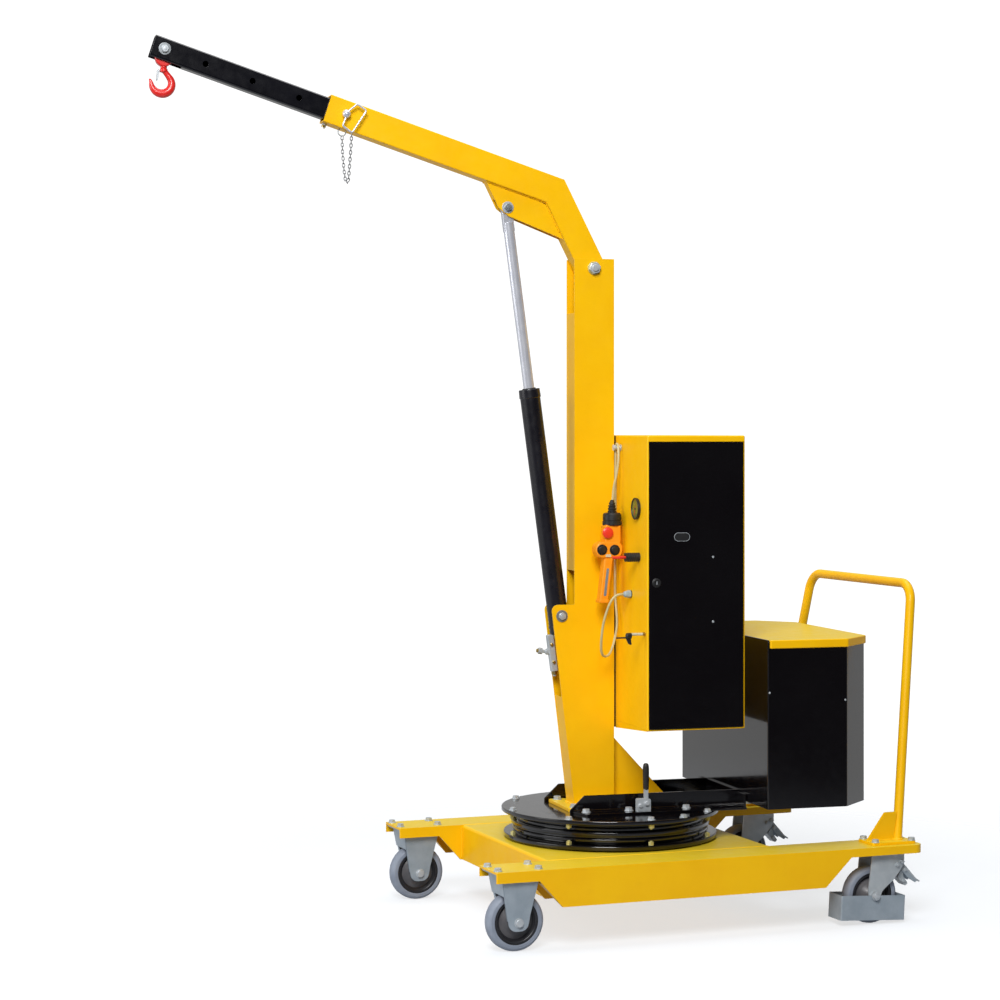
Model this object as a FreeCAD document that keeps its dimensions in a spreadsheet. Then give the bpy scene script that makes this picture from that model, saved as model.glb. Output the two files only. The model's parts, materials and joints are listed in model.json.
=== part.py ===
import FreeCAD, Part
import Sketcher
import math
import os
import re
from FreeCAD import Vector, Placement, Rotation

# Counterbalanced mobile floor crane.
# Frame: origin on the floor under the slewing axis, +Z up, +X towards the
# push handle, +Y towards the right-hand side of someone at the handle who
# looks along the jib, which points along -X. Everything above the turntable stands slewed by
# slew_rest degrees at rest and is drawn in its own unslewed frame first.

DIMS = {
    # chassis
    "beam_front": -525.0, "beam_rear": 761.0, "beam_out": 463.0, "beam_in": 329.0,
    "deck_top": 221.0, "sheet_steel": 6.0, "lip_low": 192.0, "lip_rear": 198.0, "flange_low": 119.0,
    "taper_fa": -403.0, "taper_fb": -337.0, "taper_ra": 450.0, "taper_rb": 531.0,
    "deck_front": -332.0, "deck_rear": 346.0, "deck_thick": 8.0, "corner_round": 35.0,
    # turntable
    "base_disc_rad": 306.0, "base_disc_low": 226.0, "base_disc_top": 238.0, "spacer_rad": 285.0,
    "race_rad": 270.0, "race_flange_rad": 285.0, "race_mid": 262.0, "race_top": 273.0,
    "race_bore": 200.0, "ring_low": 273.5, "ring_rad": 268.0, "top_disc_low": 296.0,
    "top_disc_rad": 312.0, "top_disc_top": 308.0,
    # castors
    "wheel_rad": 80.0, "tyre_in": 62.0, "tyre_wide": 40.0, "hub_wide": 60.0, "hub_rad": 20.0,
    "axle_rad": 6.0, "axle_run": 6.05, "track_half": 399.0, "front_axle": -452.0,
    "rear_axle": 620.0, "king_pin": 679.0, "fork_in": 32.0, "fork_out": 36.0,
    "rear_fork_in": 30.6, "rear_fork_out": 34.6,
    "castor_plate_len": 140.0, "castor_plate_wide": 112.0, "castor_plate_low": 210.0,
    "guard_x": 613.5, "guard_z": 47.6, "guard_len": 203.0, "guard_high": 69.0, "guard_half": 38.0,
    "guard_tip": 3.0, "guard_wall": 3.0, "pedal_x": 704.0, "pedal_z": 172.0,
    # push handle
    "tube_rad": 13.5, "foot_x": 713.0, "foot_y": 396.0, "foot_z": 229.0,
    "grip_x": 815.0, "grip_y": 300.0, "grip_z": 943.0, "handle_bend": 60.0,
    # slewing frame
    "slew_rest": -5.0,
    "rail_front": -160.0, "rail_rear": 347.0, "rail_in": 120.0, "rail_web": 126.0,
    "rail_out": 190.0, "rail_top": 357.0, "rail_flange": 314.0,
    "col_front": -119.0, "col_half": 38.0, "col_wall": 5.0, "col_foot": 318.0, "col_top": 1875.0,
    "slot_top_low": 1720.0, "slot_low_top": 985.0, "bracket_top": 889.0, "cover_top": 627.0,
    "foot_front": -155.0, "foot_rear": 60.0, "foot_half": 100.0,
    "pivot_x": -61.0, "pivot_z": 1848.0, "pivot_rad": 12.0, "pivot_run": 12.05,
    "trunnion_x": -157.0, "trunnion_z": 857.0, "trunnion_rad": 10.0, "trunnion_run": 10.05,
    # cabinet
    "cab_front": 5.0, "cab_rear": 293.0, "cab_half": 311.0, "cab_low": 554.0, "cab_top": 1371.0,
    "cab_sheet": 3.0, "rim_front": 3.0, "rim_rear": 3.0, "rim_low": 3.0, "rim_high": 17.0,
    "door_gap": 2.0, "door_thick": 3.0,
    # counterweight
    "weight_front": 347.0, "weight_rear": 680.0, "weight_half": 346.0, "weight_bevel": 95.0,
    "weight_low": 330.0, "weight_top": 777.0, "lid_top": 801.0, "lid_lap": 5.0,
    # jib
    "jib_rise": 17.8, "leg_lean": 27.0, "jib_tall": 79.0, "jib_half": 28.0, "jib_wall": 4.0,
    "elbow_x": -152.0, "elbow_z": 2102.0, "arm_length": 703.6, "bore_depth": 662.0,
    "lug_x": -311.0, "lug_z": 2017.0, "lug_half": 17.0, "lug_plate": 6.0, "lug_rad": 27.0,
    "pin_at": 650.0, "hole_pitch": 136.7, "pin_hole_rad": 8.5,
    # extension
    "ext_tall": 62.0, "ext_half": 21.0, "ext_wall": 4.0, "ext_tip": 1211.0, "ext_back": 462.0,
    "tip_bolt_at": 1178.0, "tip_bolt_down": 38.5, "tip_bolt_rad": 6.0, "tip_bolt_run": 6.05,
    "ext_slot": 92.0,
    # hook
    "eye_half": 11.0, "eye_low": 23.0, "eye_rad": 24.0, "hook_wire": 9.0, "hook_bowl": 27.5,
    "hook_drop": 95.5,
    # cylinder
    "barrel_rad": 29.0, "barrel_bore": 24.0, "barrel_above": 651.0, "barrel_below": 52.0,
    "rod_rad": 15.5, "rod_run": 15.55, "rod_inside": 140.0, "rod_eye_rad": 24.0, "rod_eye_half": 10.0,
    # pendant and cable
    "cable_rad": 3.5, "pendant_x": -28.0, "pendant_y": -99.0, "pendant_top": 1187.0,
}

doc = FreeCAD.newDocument("floor_crane")
sheet = doc.addObject("Spreadsheet::Sheet", "Params")
for row, (key, value) in enumerate(DIMS.items(), start=1):
    sheet.set("A%d" % row, key)
    sheet.set("B%d" % row, str(value))
    sheet.setAlias("B%d" % row, key)
doc.recompute()


def d(key):
    return float(sheet.get(key))


def expr(text):
    return re.sub(r"[a-z][a-z_0-9]*", lambda m: "Params." + m.group(0) if m.group(0) in DIMS else m.group(0), text)


def bind(obj, prop, val):
    if isinstance(val, str):
        obj.setExpression(prop, expr(val))
    else:
        obj.setExpression(prop, repr(float(val)))


def put(obj, x, y, z, rot=None):
    obj.Placement = Placement(Vector(0, 0, 0), rot or Rotation())
    bind(obj, "Placement.Base.x", x)
    bind(obj, "Placement.Base.y", y)
    bind(obj, "Placement.Base.z", z)


def span(lo, hi):
    if isinstance(lo, str) or isinstance(hi, str):
        return "(%s) - (%s)" % (hi, lo)
    return hi - lo


def box(name, x, y, z):
    o = doc.addObject("Part::Box", name)
    put(o, x[0], y[0], z[0])
    bind(o, "Length", span(*x))
    bind(o, "Width", span(*y))
    bind(o, "Height", span(*z))
    return o


AXES = {"x": Rotation(Vector(0, 0, 1), Vector(1, 0, 0)), "y": Rotation(Vector(0, 0, 1), Vector(0, 1, 0)),
        "z": Rotation(), "-x": Rotation(Vector(0, 0, 1), Vector(-1, 0, 0)),
        "-y": Rotation(Vector(0, 0, 1), Vector(0, -1, 0))}


def cyl(name, axis, base, rad, high):
    o = doc.addObject("Part::Cylinder", name)
    rot = AXES[axis] if isinstance(axis, str) else Rotation(Vector(0, 0, 1), axis)
    put(o, base[0], base[1], base[2], rot)
    bind(o, "Radius", rad)
    bind(o, "Height", high)
    return o


def fuse(name, objs):
    o = doc.addObject("Part::MultiFuse", name)
    o.Shapes = objs
    o.Refine = True
    return o


def cut(name, base, tools):
    o = doc.addObject("Part::Cut", name)
    o.Base = base
    o.Tool = tools[0] if len(tools) == 1 else fuse(name + "_tools", tools)
    o.Refine = True
    return o


def mirror_y(name, source):
    o = doc.addObject("Part::Mirroring", name)
    o.Source = source
    o.Normal = Vector(0, 1, 0)
    o.Base = Vector(0, 0, 0)
    return o


def outline(pts):
    # straight runs with tangent arcs at the corners that state a radius
    n = len(pts)
    ends = []
    for i in range(n):
        p = pts[i]
        v = Vector(p[0], p[1], 0)
        if len(p) == 2:
            ends.append((v, v, None))
            continue
        a = Vector(pts[i - 1][0], pts[i - 1][1], 0) - v
        b = Vector(pts[(i + 1) % n][0], pts[(i + 1) % n][1], 0) - v
        a.normalize()
        b.normalize()
        half = math.acos(max(-1.0, min(1.0, a.dot(b)))) / 2
        back = p[2] / math.tan(half)
        mid = (a + b)
        mid.normalize()
        c = v + mid * (p[2] / math.sin(half))
        toward = v - c
        toward.normalize()
        ends.append((v + a * back, v + b * back, c + toward * p[2]))
    geo = []
    for i in range(n):
        if ends[i][2] is not None:
            geo.append(Part.Arc(ends[i][0], ends[i][2], ends[i][1]))
        s, e = ends[i][1], ends[(i + 1) % n][0]
        if (e - s).Length > 1e-6:
            geo.append(Part.LineSegment(s, e))
    return geo


def sketch_on(body, name, plane, geo, offset=None):
    sk = body.newObject("Sketcher::SketchObject", name)
    ref = [f for f in body.Origin.OriginFeatures if f.Role == plane + "_Plane"][0]
    sk.AttachmentSupport = [(ref, "")]
    sk.MapMode = "FlatFace"
    if offset is not None:
        bind(sk, "AttachmentOffset.Base.z", offset)
    sk.addGeometry(geo, False)
    n = len(geo)
    for i in range(n):
        sk.addConstraint(Sketcher.Constraint("Coincident", i, 2, (i + 1) % n, 1))
    return sk


def plate(name, plane, pts, lo, hi):
    # a flat outline padded between two levels along the plane's normal
    body = doc.addObject("PartDesign::Body", name)
    if plane == "XZ":
        off = "-(%s)" % hi if isinstance(hi, str) else -hi
    else:
        off = lo
    sketch_on(body, name + "_outline", plane, outline(pts), off)
    pad = body.newObject("PartDesign::Pad", name + "_pad")
    pad.Profile = body.Group[0]
    bind(pad, "Length", span(lo, hi))
    body.Tip = pad
    return body


def turned(name, pts):
    # a profile of (radius, height) points turned about the Z axis
    body = doc.addObject("PartDesign::Body", name)
    sk = sketch_on(body, name + "_profile", "XZ", outline(pts))
    rev = body.newObject("PartDesign::Revolution", name + "_turn")
    rev.Profile = sk
    rev.ReferenceAxis = (sk, ["V_Axis"])
    rev.Angle = 360.0
    body.Tip = rev
    return body


nodes = {}


def node(label, obj, upper=False):
    if upper:
        rest = Placement(Vector(0, 0, 0), Rotation(Vector(0, 0, 1), d("slew_rest")))
        obj.Placement = rest.multiply(obj.Placement)
    obj.Label = label
    nodes[label] = obj
    return obj


# ---------------------------------------------------------------- chassis
def side_beam(name):
    r = d("corner_round")
    pts = [(d("beam_front"), -d("beam_out"), 8.0), (d("beam_rear"), -d("beam_out"), r),
           (d("beam_rear"), -d("beam_in"), 8.0), (d("beam_front"), -d("beam_in"))]
    outer = plate(name + "_outer", "XY", pts, "flange_low", "deck_top")
    # the channel is open at its front end
    hollow = box(name + "_hollow", ("beam_front - 10", "beam_rear - sheet_steel"),
                 ("sheet_steel - beam_out", "-beam_in - sheet_steel"), (60.0, "deck_top - sheet_steel"))
    front = plate(name + "_front_cut", "XZ",
                  [(-600.0, d("lip_low")), (d("taper_fa"), d("lip_low")), (d("taper_fb"), d("flange_low")),
                   (d("taper_fb"), 60.0), (-600.0, 60.0)], -500.0, -300.0)
    rear = plate(name + "_rear_cut", "XZ",
                 [(d("taper_ra"), 60.0), (d("taper_ra"), d("flange_low")), (d("taper_rb"), d("lip_rear")),
                  (820.0, d("lip_rear")), (820.0, 60.0)], -500.0, -300.0)
    skin = cut(name + "_skin", outer, [hollow, front, rear])
    # inturned lip along the outer web's lower edge and front taper
    lip = plate(name + "_lip", "XZ",
                [(-394.6, 182.7), (d("taper_fb"), d("flange_low")), (d("taper_ra"), d("flange_low")), (d("taper_ra"), d("flange_low") + 4.0),
                 (-335.2, d("flange_low") + 4.0), (-391.6, 185.4)], "-beam_out + 3", -425.0)
    return fuse(name, [skin, lip])


left_beam = node("left_side_beam", side_beam("left_beam"))
node("right_side_beam", mirror_y("right_beam", left_beam))

deck = fuse("deck", [
    box("deck_sheet", ("deck_front", "deck_rear"), ("-beam_in", "beam_in"), ("deck_top - deck_thick", "deck_top")),
    box("deck_front_flange", ("deck_front", "deck_front + sheet_steel"), ("-beam_in", "beam_in"), ("flange_low", "deck_top")),
    box("deck_rear_flange", ("deck_rear - sheet_steel", "deck_rear"), ("-beam_in", "beam_in"), ("flange_low", "deck_top")),
])
node("turntable_deck", deck)

# lower turntable disc with its spacer, and the fixed half of the slewing ring
node("turntable_base_disc", turned("base_disc", [
    (0.0, d("deck_top")), (d("spacer_rad"), d("deck_top")), (d("spacer_rad"), d("base_disc_low")),
    (d("base_disc_rad"), d("base_disc_low")), (d("base_disc_rad"), d("base_disc_top")), (0.0, d("base_disc_top"))]))
node("slewing_ring_race", turned("race", [
    (d("race_bore"), d("base_disc_top")), (d("race_rad"), d("base_disc_top")), (d("race_rad"), d("base_disc_top") + 7),
    (d("race_flange_rad") - 4, d("base_disc_top") + 7), (d("race_flange_rad") - 4, d("race_mid") - 8),
    (d("race_rad") + 2, d("race_mid") - 8), (d("race_rad") + 2, d("race_mid")),
    (d("race_flange_rad"), d("race_mid")), (d("race_flange_rad"), d("race_top")), (d("race_bore"), d("race_top"))]))

# ---------------------------------------------------------------- castors
def wheel_parts(name, x, y):
    r, w, hw = d("wheel_rad"), d("tyre_wide") / 2, d("hub_wide") / 2
    ti = d("tyre_in")
    tyre = turned(name + "_tyre_turned", [(ti, -w), (r - 9.0, -w), (r - 4.0, -w + 2.0), (r - 1.0, -w + 6.0), (r, -w + 12.0),
                                          (r, w - 12.0), (r - 1.0, w - 6.0), (r - 4.0, w - 2.0), (r - 9.0, w), (ti, w)])
    a = d("axle_run")
    rim = turned(name + "_rim_turned", [(a, -hw), (d("hub_rad"), -hw), (d("hub_rad"), -9.0), (52.0, -7.0), (54.0, -w + 2.0),
                                        (ti, -w + 2.0), (ti, w - 2.0), (54.0, w - 2.0), (52.0, 7.0), (d("hub_rad"), 9.0),
                                        (d("hub_rad"), hw), (a, hw)])
    for b in (tyre, rim):
        put(b, x, y, "wheel_rad", Rotation(Vector(1, 0, 0), -90))
    return tyre, rim


for label, x, y in (("front_left", "front_axle", "-track_half"), ("front_right", "front_axle", "track_half"),
                    ("rear_left", "rear_axle", "-track_half"), ("rear_right", "rear_axle", "track_half")):
    tyre, rim = wheel_parts(label, x, y)
    node(label + "_tyre", tyre)
    node(label + "_rim", rim)


def front_fork(name):
    x, y = d("front_axle"), -d("track_half")
    top = d("castor_plate_low")
    pts = [(x - 50, top), (x - 50, top - 18), (x - 24, d("wheel_rad") - 23, 22.0), (x + 24, d("wheel_rad") - 23, 22.0),
           (x + 50, top - 18), (x + 50, top)]
    fi, fo = d("fork_in"), d("fork_out")
    legs = [plate(name + "_leg_a", "XZ", pts, y - fo, y - fi), plate(name + "_leg_b", "XZ", pts, y + fi, y + fo)]
    bridge = box(name + "_bridge", (x - 50, x + 50), (y - fo, y + fo), (top - 8.0, "castor_plate_low"))
    flat = box(name + "_plate", (x - 70, x + 62), (y - 56, y + 56), ("castor_plate_low", "castor_plate_low + 5"))
    axle = cyl(name + "_axle", "y", ("front_axle", y - fo, "wheel_rad"), "axle_rad", 2 * fo)
    return fuse(name, legs + [bridge, flat, axle])


front_fork_left = front_fork("front_fork_l")
front_fork_right = mirror_y("front_fork_r", front_fork_left)
node("front_castor_forks", fuse("front_forks", [front_fork_left, front_fork_right]))


def swivel_plate(name):
    y = -d("track_half")
    return fuse(name, [
        box(name + "_plate", ("king_pin - castor_plate_len/2", "king_pin + castor_plate_len/2 - 4"), (y - 56, y + 56),
            ("castor_plate_low", "castor_plate_low + 5")),
        cyl(name + "_boss", "z", ("king_pin", y, 197.0), 38.0, "castor_plate_low - 197"),
    ])


plate_left = swivel_plate("swivel_plate_l")
node("rear_castor_plates", fuse("swivel_plates", [plate_left, mirror_y("swivel_plate_r", plate_left)]))


def swivel_fork(name):
    x, k, y = d("rear_axle"), d("king_pin"), -d("track_half")
    fi, fo, zc = d("rear_fork_in"), d("rear_fork_out"), d("wheel_rad")
    pts = [(k - 68, 196.0), (x - 22, zc + 8.0), (x - 14, zc - 14.0), (x + 14, zc - 14.0), (x + 22, zc + 8.0),
           (k - 4, 121.0), (k + 20, 148.0), (k + 35, 166.0), (k + 35, 196.0)]
    legs = [plate(name + "_leg_a", "XZ", pts, y - fo, y - fi), plate(name + "_leg_b", "XZ", pts, y + fi, y + fo)]
    crown = box(name + "_crown", (k - 52, k + 30), (y - fi - 1.0, y + fi + 1.0), (187.0, 195.0))
    gh = d("guard_half")
    axle = cyl(name + "_axle", "y", ("rear_axle", y - gh - 6.0, "wheel_rad"), "axle_rad", 2 * gh + 12.0)
    boss_a = cyl(name + "_boss_a", "y", ("rear_axle", y - gh - 6.0, "wheel_rad"), 13.0, 6.0)
    boss_b = cyl(name + "_boss_b", "y", ("rear_axle", y + gh, "wheel_rad"), 13.0, 6.0)
    return fuse(name, legs + [crown, axle, boss_a, boss_b])


fork_left = swivel_fork("swivel_fork_l")
node("rear_left_fork", fork_left)
node("rear_right_fork", mirror_y("swivel_fork_r", fork_left))


def guard(name):
    # a ring of flat strip that hangs a little low at its rear end, with holes for the axle
    y = -d("track_half")
    outer = box(name + "_outer", ("guard_x - guard_len/2", "guard_x + guard_len/2"),
                ("%s - guard_half" % y, "%s + guard_half" % y), ("guard_z - guard_high/2", "guard_z + guard_high/2"))
    inner = box(name + "_inner", ("guard_x - guard_len/2 + guard_wall", "guard_x + guard_len/2 - guard_wall"),
                ("%s - guard_half + guard_wall" % y, "%s + guard_half - guard_wall" % y), (-20.0, 120.0))
    ring = cut(name + "_ring", outer, [inner])
    ring.Placement = Placement(Vector(0, 0, 0), Rotation(Vector(0, 1, 0), d("guard_tip")), Vector(d("guard_x"), 0, d("guard_z")))
    return cut(name, ring, [cyl(name + "_axle_hole", "y", ("rear_axle", y - 60.0, "wheel_rad"), 6.5, 120.0)])


guard_left = guard("guard_l")
node("rear_left_foot_guard", guard_left)
node("rear_right_foot_guard", mirror_y("guard_r", guard_left))


def pedal(name):
    px, pz, y = d("pedal_x"), d("pedal_z"), -d("track_half")
    down = math.radians(48.0)
    ax, az = math.cos(down), -math.sin(down)
    nx, nz = math.sin(down), math.cos(down)
    pts = [(px + nx * 5, pz + nz * 5), (px + ax * 76 + nx * 5, pz + az * 76 + nz * 5),
           (px + ax * 90 + nx * 1, pz + az * 90 + nz * 9), (px + ax * 90 - nx * 4, pz + az * 90 + nz * 4),
           (px + ax * 76, pz + az * 76), (px, pz)]
    tread = plate(name + "_tread", "XZ", pts, y - 24.0, y + 24.0)
    hub = cyl(name + "_hub", "y", ("pedal_x", y - 30.0, "pedal_z"), 7.0, 60.0)
    return fuse(name, [tread, hub])


pedal_left = pedal("pedal_l")
node("rear_left_brake_pedal", pedal_left)
node("rear_right_brake_pedal", mirror_y("pedal_r", pedal_left))

# ---------------------------------------------------------------- push handle
def pipe(points, radii, rad):
    # a round bar along straight runs joined by tangent arcs
    edges = []
    start = points[0]
    for i in range(1, len(points) - 1):
        a = points[i - 1] - points[i]
        b = points[i + 1] - points[i]
        a.normalize()
        b.normalize()
        half = math.acos(max(-1.0, min(1.0, a.dot(b)))) / 2
        back = radii[i - 1] / math.tan(half)
        t1, t2 = points[i] + a * back, points[i] + b * back
        mid = a + b
        mid.normalize()
        c = points[i] + mid * (radii[i - 1] / math.sin(half))
        tow = points[i] - c
        tow.normalize()
        if (t1 - start).Length > 1e-4:
            edges.append(Part.LineSegment(start, t1).toShape())
        edges.append(Part.Arc(t1, c + tow * radii[i - 1], t2).toShape())
        start = t2
    edges.append(Part.LineSegment(start, points[-1]).toShape())
    wire = Part.Wire(edges)
    aim = points[1] - points[0]
    aim.normalize()
    ring = Part.Wire([Part.makeCircle(rad, points[0], aim)])
    solid = wire.makePipeShell([ring], True, False)
    return solid, wire.Length


gx, gy, gz = d("grip_x"), d("grip_y"), d("grip_z")
fx, fy, fz = d("foot_x"), d("foot_y"), d("foot_z")
lean = Vector(gx - fx, fy - gy, gz - fz)
lean.normalize()
low = Vector(fx, -fy, fz) - lean * 12.0
handle_bar = doc.addObject("Part::Feature", "handle_bar")
handle_bar.Shape = pipe([low, Vector(gx, -gy, gz), Vector(gx, gy, gz), Vector(low.x, -low.y, low.z)],
                        [d("handle_bend")] * 2, d("tube_rad"))[0]
handle = cut("handle", handle_bar, [box("handle_trim", (650.0, 780.0), (-460.0, 460.0), (180.0, "foot_z"))])
node("push_handle", handle)


def handle_bracket(name):
    y = -d("foot_y")
    flat = box(name + "_flat", (612.0, 748.0), (y - 44, y + 44), ("deck_top", "foot_z"))
    rib = plate(name + "_rib", "XZ", [(614.0, fz), (698.9, fz), (709.6, 307.0), (671.0, 307.0)], y - 4.0, y + 4.0)
    return fuse(name, [flat, rib])


bracket_left = handle_bracket("handle_bracket_l")
bracket_right = mirror_y("handle_bracket_r", bracket_left)
node("handle_brackets", fuse("handle_brackets_all", [bracket_left, bracket_right]))

# ---------------------------------------------------------------- slewing frame
node("slewing_ring_rotor", turned("ring", [
    (d("race_bore"), d("ring_low")), (d("ring_rad"), d("ring_low")), (d("ring_rad"), d("top_disc_low")),
    (d("race_bore"), d("top_disc_low"))]), True)
node("turntable_top_disc", cyl("top_disc", "z", (0.0, 0.0, "top_disc_low"), "top_disc_rad", "top_disc_top - top_disc_low"), True)


def rail(name):
    web = plate(name + "_web", "XZ", [(d("rail_front"), d("top_disc_top")), (d("rail_front"), d("top_disc_top") + 9),
                                      (d("rail_front") + 43, d("rail_top")), (d("rail_rear"), d("rail_top")),
                                      (d("rail_rear"), d("top_disc_top"))], "-rail_web", "-rail_in")
    flange = plate(name + "_flange", "XY", [(d("rail_front") + 6, -d("rail_web")), (d("rail_front") + 30, -d("rail_out")),
                                            (d("rail_rear"), -d("rail_out")), (d("rail_rear"), -d("rail_web"))],
                   "top_disc_top", "rail_flange")
    return fuse(name, [web, flange])


rail_left = rail("rail_l")
rail_right = mirror_y("rail_r", rail_left)
rail_end = box("rail_end", ("rail_rear - 8", "rail_rear"), ("-rail_web", "rail_web"), ("top_disc_top", "rail_top"))
node("frame_rails", fuse("rails", [rail_left, rail_right, rail_end]), True)

# column: two profiled side plates with rear, front and toe plates between them
cf, cw, ch = d("col_front"), d("col_wall"), d("col_half")
side = [(0.0, d("col_foot")), (0.0, d("col_top")), (cf, d("col_top")), (cf, d("bracket_top")),
        (-188.0, d("bracket_top"), 16.0), (-155.0, d("cover_top")), (cf, d("col_foot"))]
col_skin = fuse("col_skin", [
    plate("col_side_l", "XZ", side, "-col_half", "col_wall - col_half"),
    plate("col_side_r", "XZ", side, "col_half - col_wall", "col_half"),
    box("col_back", ("-col_wall", 0.0), ("-col_half", "col_half"), ("col_foot", "col_top")),
    box("col_face", ("col_front", "col_front + col_wall"), ("-col_half", "col_half"), ("slot_low_top", "slot_top_low")),
    plate("col_toe", "XZ", [(cf, d("col_foot")), (-155.0, d("cover_top")), (-150.0, d("cover_top")), (cf + 5.0, d("col_foot"))],
          "-col_half", "col_half"),
])
column = cut("column", col_skin, [
    cyl("pivot_hole", "y", ("pivot_x", -60.0, "pivot_z"), "pivot_run", 120.0),
    cyl("trunnion_hole", "y", ("trunnion_x", -60.0, "trunnion_z"), "trunnion_run", 120.0),
])
foot = fuse("column_foot_all", [
    box("foot_plate", ("foot_front", "foot_rear"), ("-foot_half", "foot_half"), ("top_disc_top", "col_foot")),
    plate("gusset", "XZ", [(0.0, d("col_foot")), (172.0, d("col_foot")), (160.0, 340.0), (0.0, 514.0)], -5.0, 5.0)])
node("column", column, True)
node("column_foot", foot, True)

pivot_bolt = fuse("pivot_bolt_all", [
    cyl("pivot_shank", "y", ("pivot_x", -46.0, "pivot_z"), "pivot_rad", 92.0),
    cyl("pivot_head", "y", ("pivot_x", -58.0, "pivot_z"), 19.0, "58 - col_half"),
    cyl("pivot_nut", "y", ("pivot_x", "col_half", "pivot_z"), 19.0, 20.0),
])
node("jib_pivot_bolt", pivot_bolt, True)

# cabinet shell with its door opening on the left side
cab_outer = box("cab_outer", ("cab_front", "cab_rear"), ("-cab_half", "cab_half"), ("cab_low", "cab_top"))
cab_inner = box("cab_inner", ("cab_front + cab_sheet", "cab_rear - cab_sheet"),
                ("cab_sheet - cab_half", "cab_half - cab_sheet"), ("cab_low + cab_sheet", "cab_top - cab_sheet"))
cab_mouth = box("cab_mouth", ("cab_front + rim_front", "cab_rear - rim_rear"), ("-cab_half - 20", "-cab_half + 20"),
                ("cab_low + rim_low", "cab_top - rim_high"))
cab_body = cut("cab_body", cab_outer, [cab_inner, cab_mouth])
cabinet = fuse("cabinet_all", [cab_body,
                               box("cab_strap_low", (0.0, "cab_front"), (-30.0, 30.0), (700.0, 745.0)),
                               box("cab_strap_high", (0.0, "cab_front"), (-30.0, 30.0), (1245.0, 1290.0))])
node("cabinet_shell", cabinet, True)
door = fuse("door_all", [
    box("door_leaf", ("cab_front + rim_front + door_gap", "cab_rear - rim_rear - door_gap"),
        ("-cab_half", "door_thick - cab_half"), ("cab_low + rim_low + door_gap", "cab_top - rim_high - door_gap")),
    cyl("door_lock", "-y", (31.0, "-cab_half", 964.0), 10.0, 6.0),
])
node("cabinet_door", door, True)

# fittings on the cabinet's front wall beside the column
node("pressure_gauge", fuse("gauge_all", [cyl("gauge_case", "-x", ("cab_front", -225.0, 1166.5), 29.5, 6.0),
                                         cyl("gauge_bezel", "-x", (-1.0, -225.0, 1166.5), 30.5, 3.0)]), True)
node("battery_switch", fuse("switch_all", [cyl("switch_body", "-x", ("cab_front", -240.0, 1032.0), 13.0, 41.0),
                                          cyl("switch_key", "-x", (-36.0, -240.0, 1032.0), 5.0, 38.0)]), True)
node("cable_gland", fuse("gland_all", [cyl("gland_nut", "-x", ("cab_front", -171.0, 925.0), 11.0, 13.0),
                                      cyl("gland_dome", "-x", (-8.0, -171.0, 925.0), 9.0, 10.0)]), True)
node("drain_valve", fuse("valve_all", [cyl("valve_stem", "-x", ("cab_front", -292.0, 822.0), 4.0, 45.0),
                                      cyl("valve_knob", "-x", (-38.0, -292.0, 818.0), 9.0, 14.0),
                                      cyl("valve_pin", "-x", (-50.0, -292.0, 813.0), 2.5, 30.0)]), True)
node("cable_hook", fuse("hook_peg_all", [cyl("hook_peg", "-x", ("cab_front", -80.0, 1336.0), 6.0, 20.0),
                                        cyl("hook_peg_end", "-x", (-15.0, -80.0, 1336.0), 9.0, 3.0)]), True)

# slewing lock
node("lock_bracket", fuse("lock_bracket_all", [
    box("lock_base", (18.0, 58.0), (-189.0, -172.0), ("rail_flange", "rail_flange + 4")),
    box("lock_cheek_a", (18.0, 58.0), (-189.0, -185.5), ("rail_flange", 351.0)),
    box("lock_cheek_b", (18.0, 58.0), (-175.5, -172.0), ("rail_flange", 351.0)),
]), True)
node("lock_lever", fuse("lock_lever_all", [
    box("lock_bar", (40.0, 52.0), (-184.5, -176.5), (327.0, 378.0)),
    cyl("lock_grip", "z", (46.0, -180.5, 378.0), 9.0, 72.0),
]), True)

# counterweight and lid
wf, wr, wh, wb = d("weight_front"), d("weight_rear"), d("weight_half"), d("weight_bevel")


def weight_outline(o, front):
    k = o * math.tan(math.radians(22.5))
    return [(front, -wh - o, 4.0), (wr - wb + k, -wh - o, 6.0), (wr + o, -wh + wb - k, 6.0),
            (wr + o, wh - wb + k, 6.0), (wr - wb + k, wh + o, 6.0), (front, wh + o, 4.0)]


# the box's front wall stands up beside the lid
weight_wall = plate("weight_wall", "YZ", [(-wh + 4, 760.0), (wh - 4, 760.0), (wh - 4, d("lid_top"), 8.0), (-wh + 4, d("lid_top"), 8.0)],
                    "weight_front", "weight_front + 5")
weight_block = plate("weight_block", "XY", weight_outline(0.0, wf), "weight_low", "weight_top")
node("counterweight", fuse("weight_all", [weight_block, weight_wall]), True)
node("counterweight_lid", plate("weight_lid", "XY", weight_outline(d("lid_lap"), wf + 6.0), "weight_top", "lid_top"), True)

# ---------------------------------------------------------------- jib
rise = math.radians(d("jib_rise"))
ax, az = -math.cos(rise), math.sin(rise)          # along the arm, to the tip
nx, nz = -math.sin(rise), -math.cos(rise)         # square to the arm, downwards
ll = math.radians(d("leg_lean"))
lx, lz = -math.sin(ll), math.cos(ll)              # up the leg
bx, bz = math.cos(ll), math.sin(ll)               # square to the leg, rearwards
ex, ez = d("elbow_x"), d("elbow_z")
pvx, pvz = d("pivot_x"), d("pivot_z")
tall, arm = d("jib_tall"), d("arm_length")
half_tall = tall / 2


def on_arm(along, down):
    return (ex + ax * along + nx * down, ez + az * along + nz * down)


def meet(p, u, q, v):
    # crossing of two lines in the XZ plane
    den = u[0] * v[1] - u[1] * v[0]
    t = ((q[0] - p[0]) * v[1] - (q[1] - p[1]) * v[0]) / den
    return (p[0] + u[0] * t, p[1] + u[1] * t)


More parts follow.
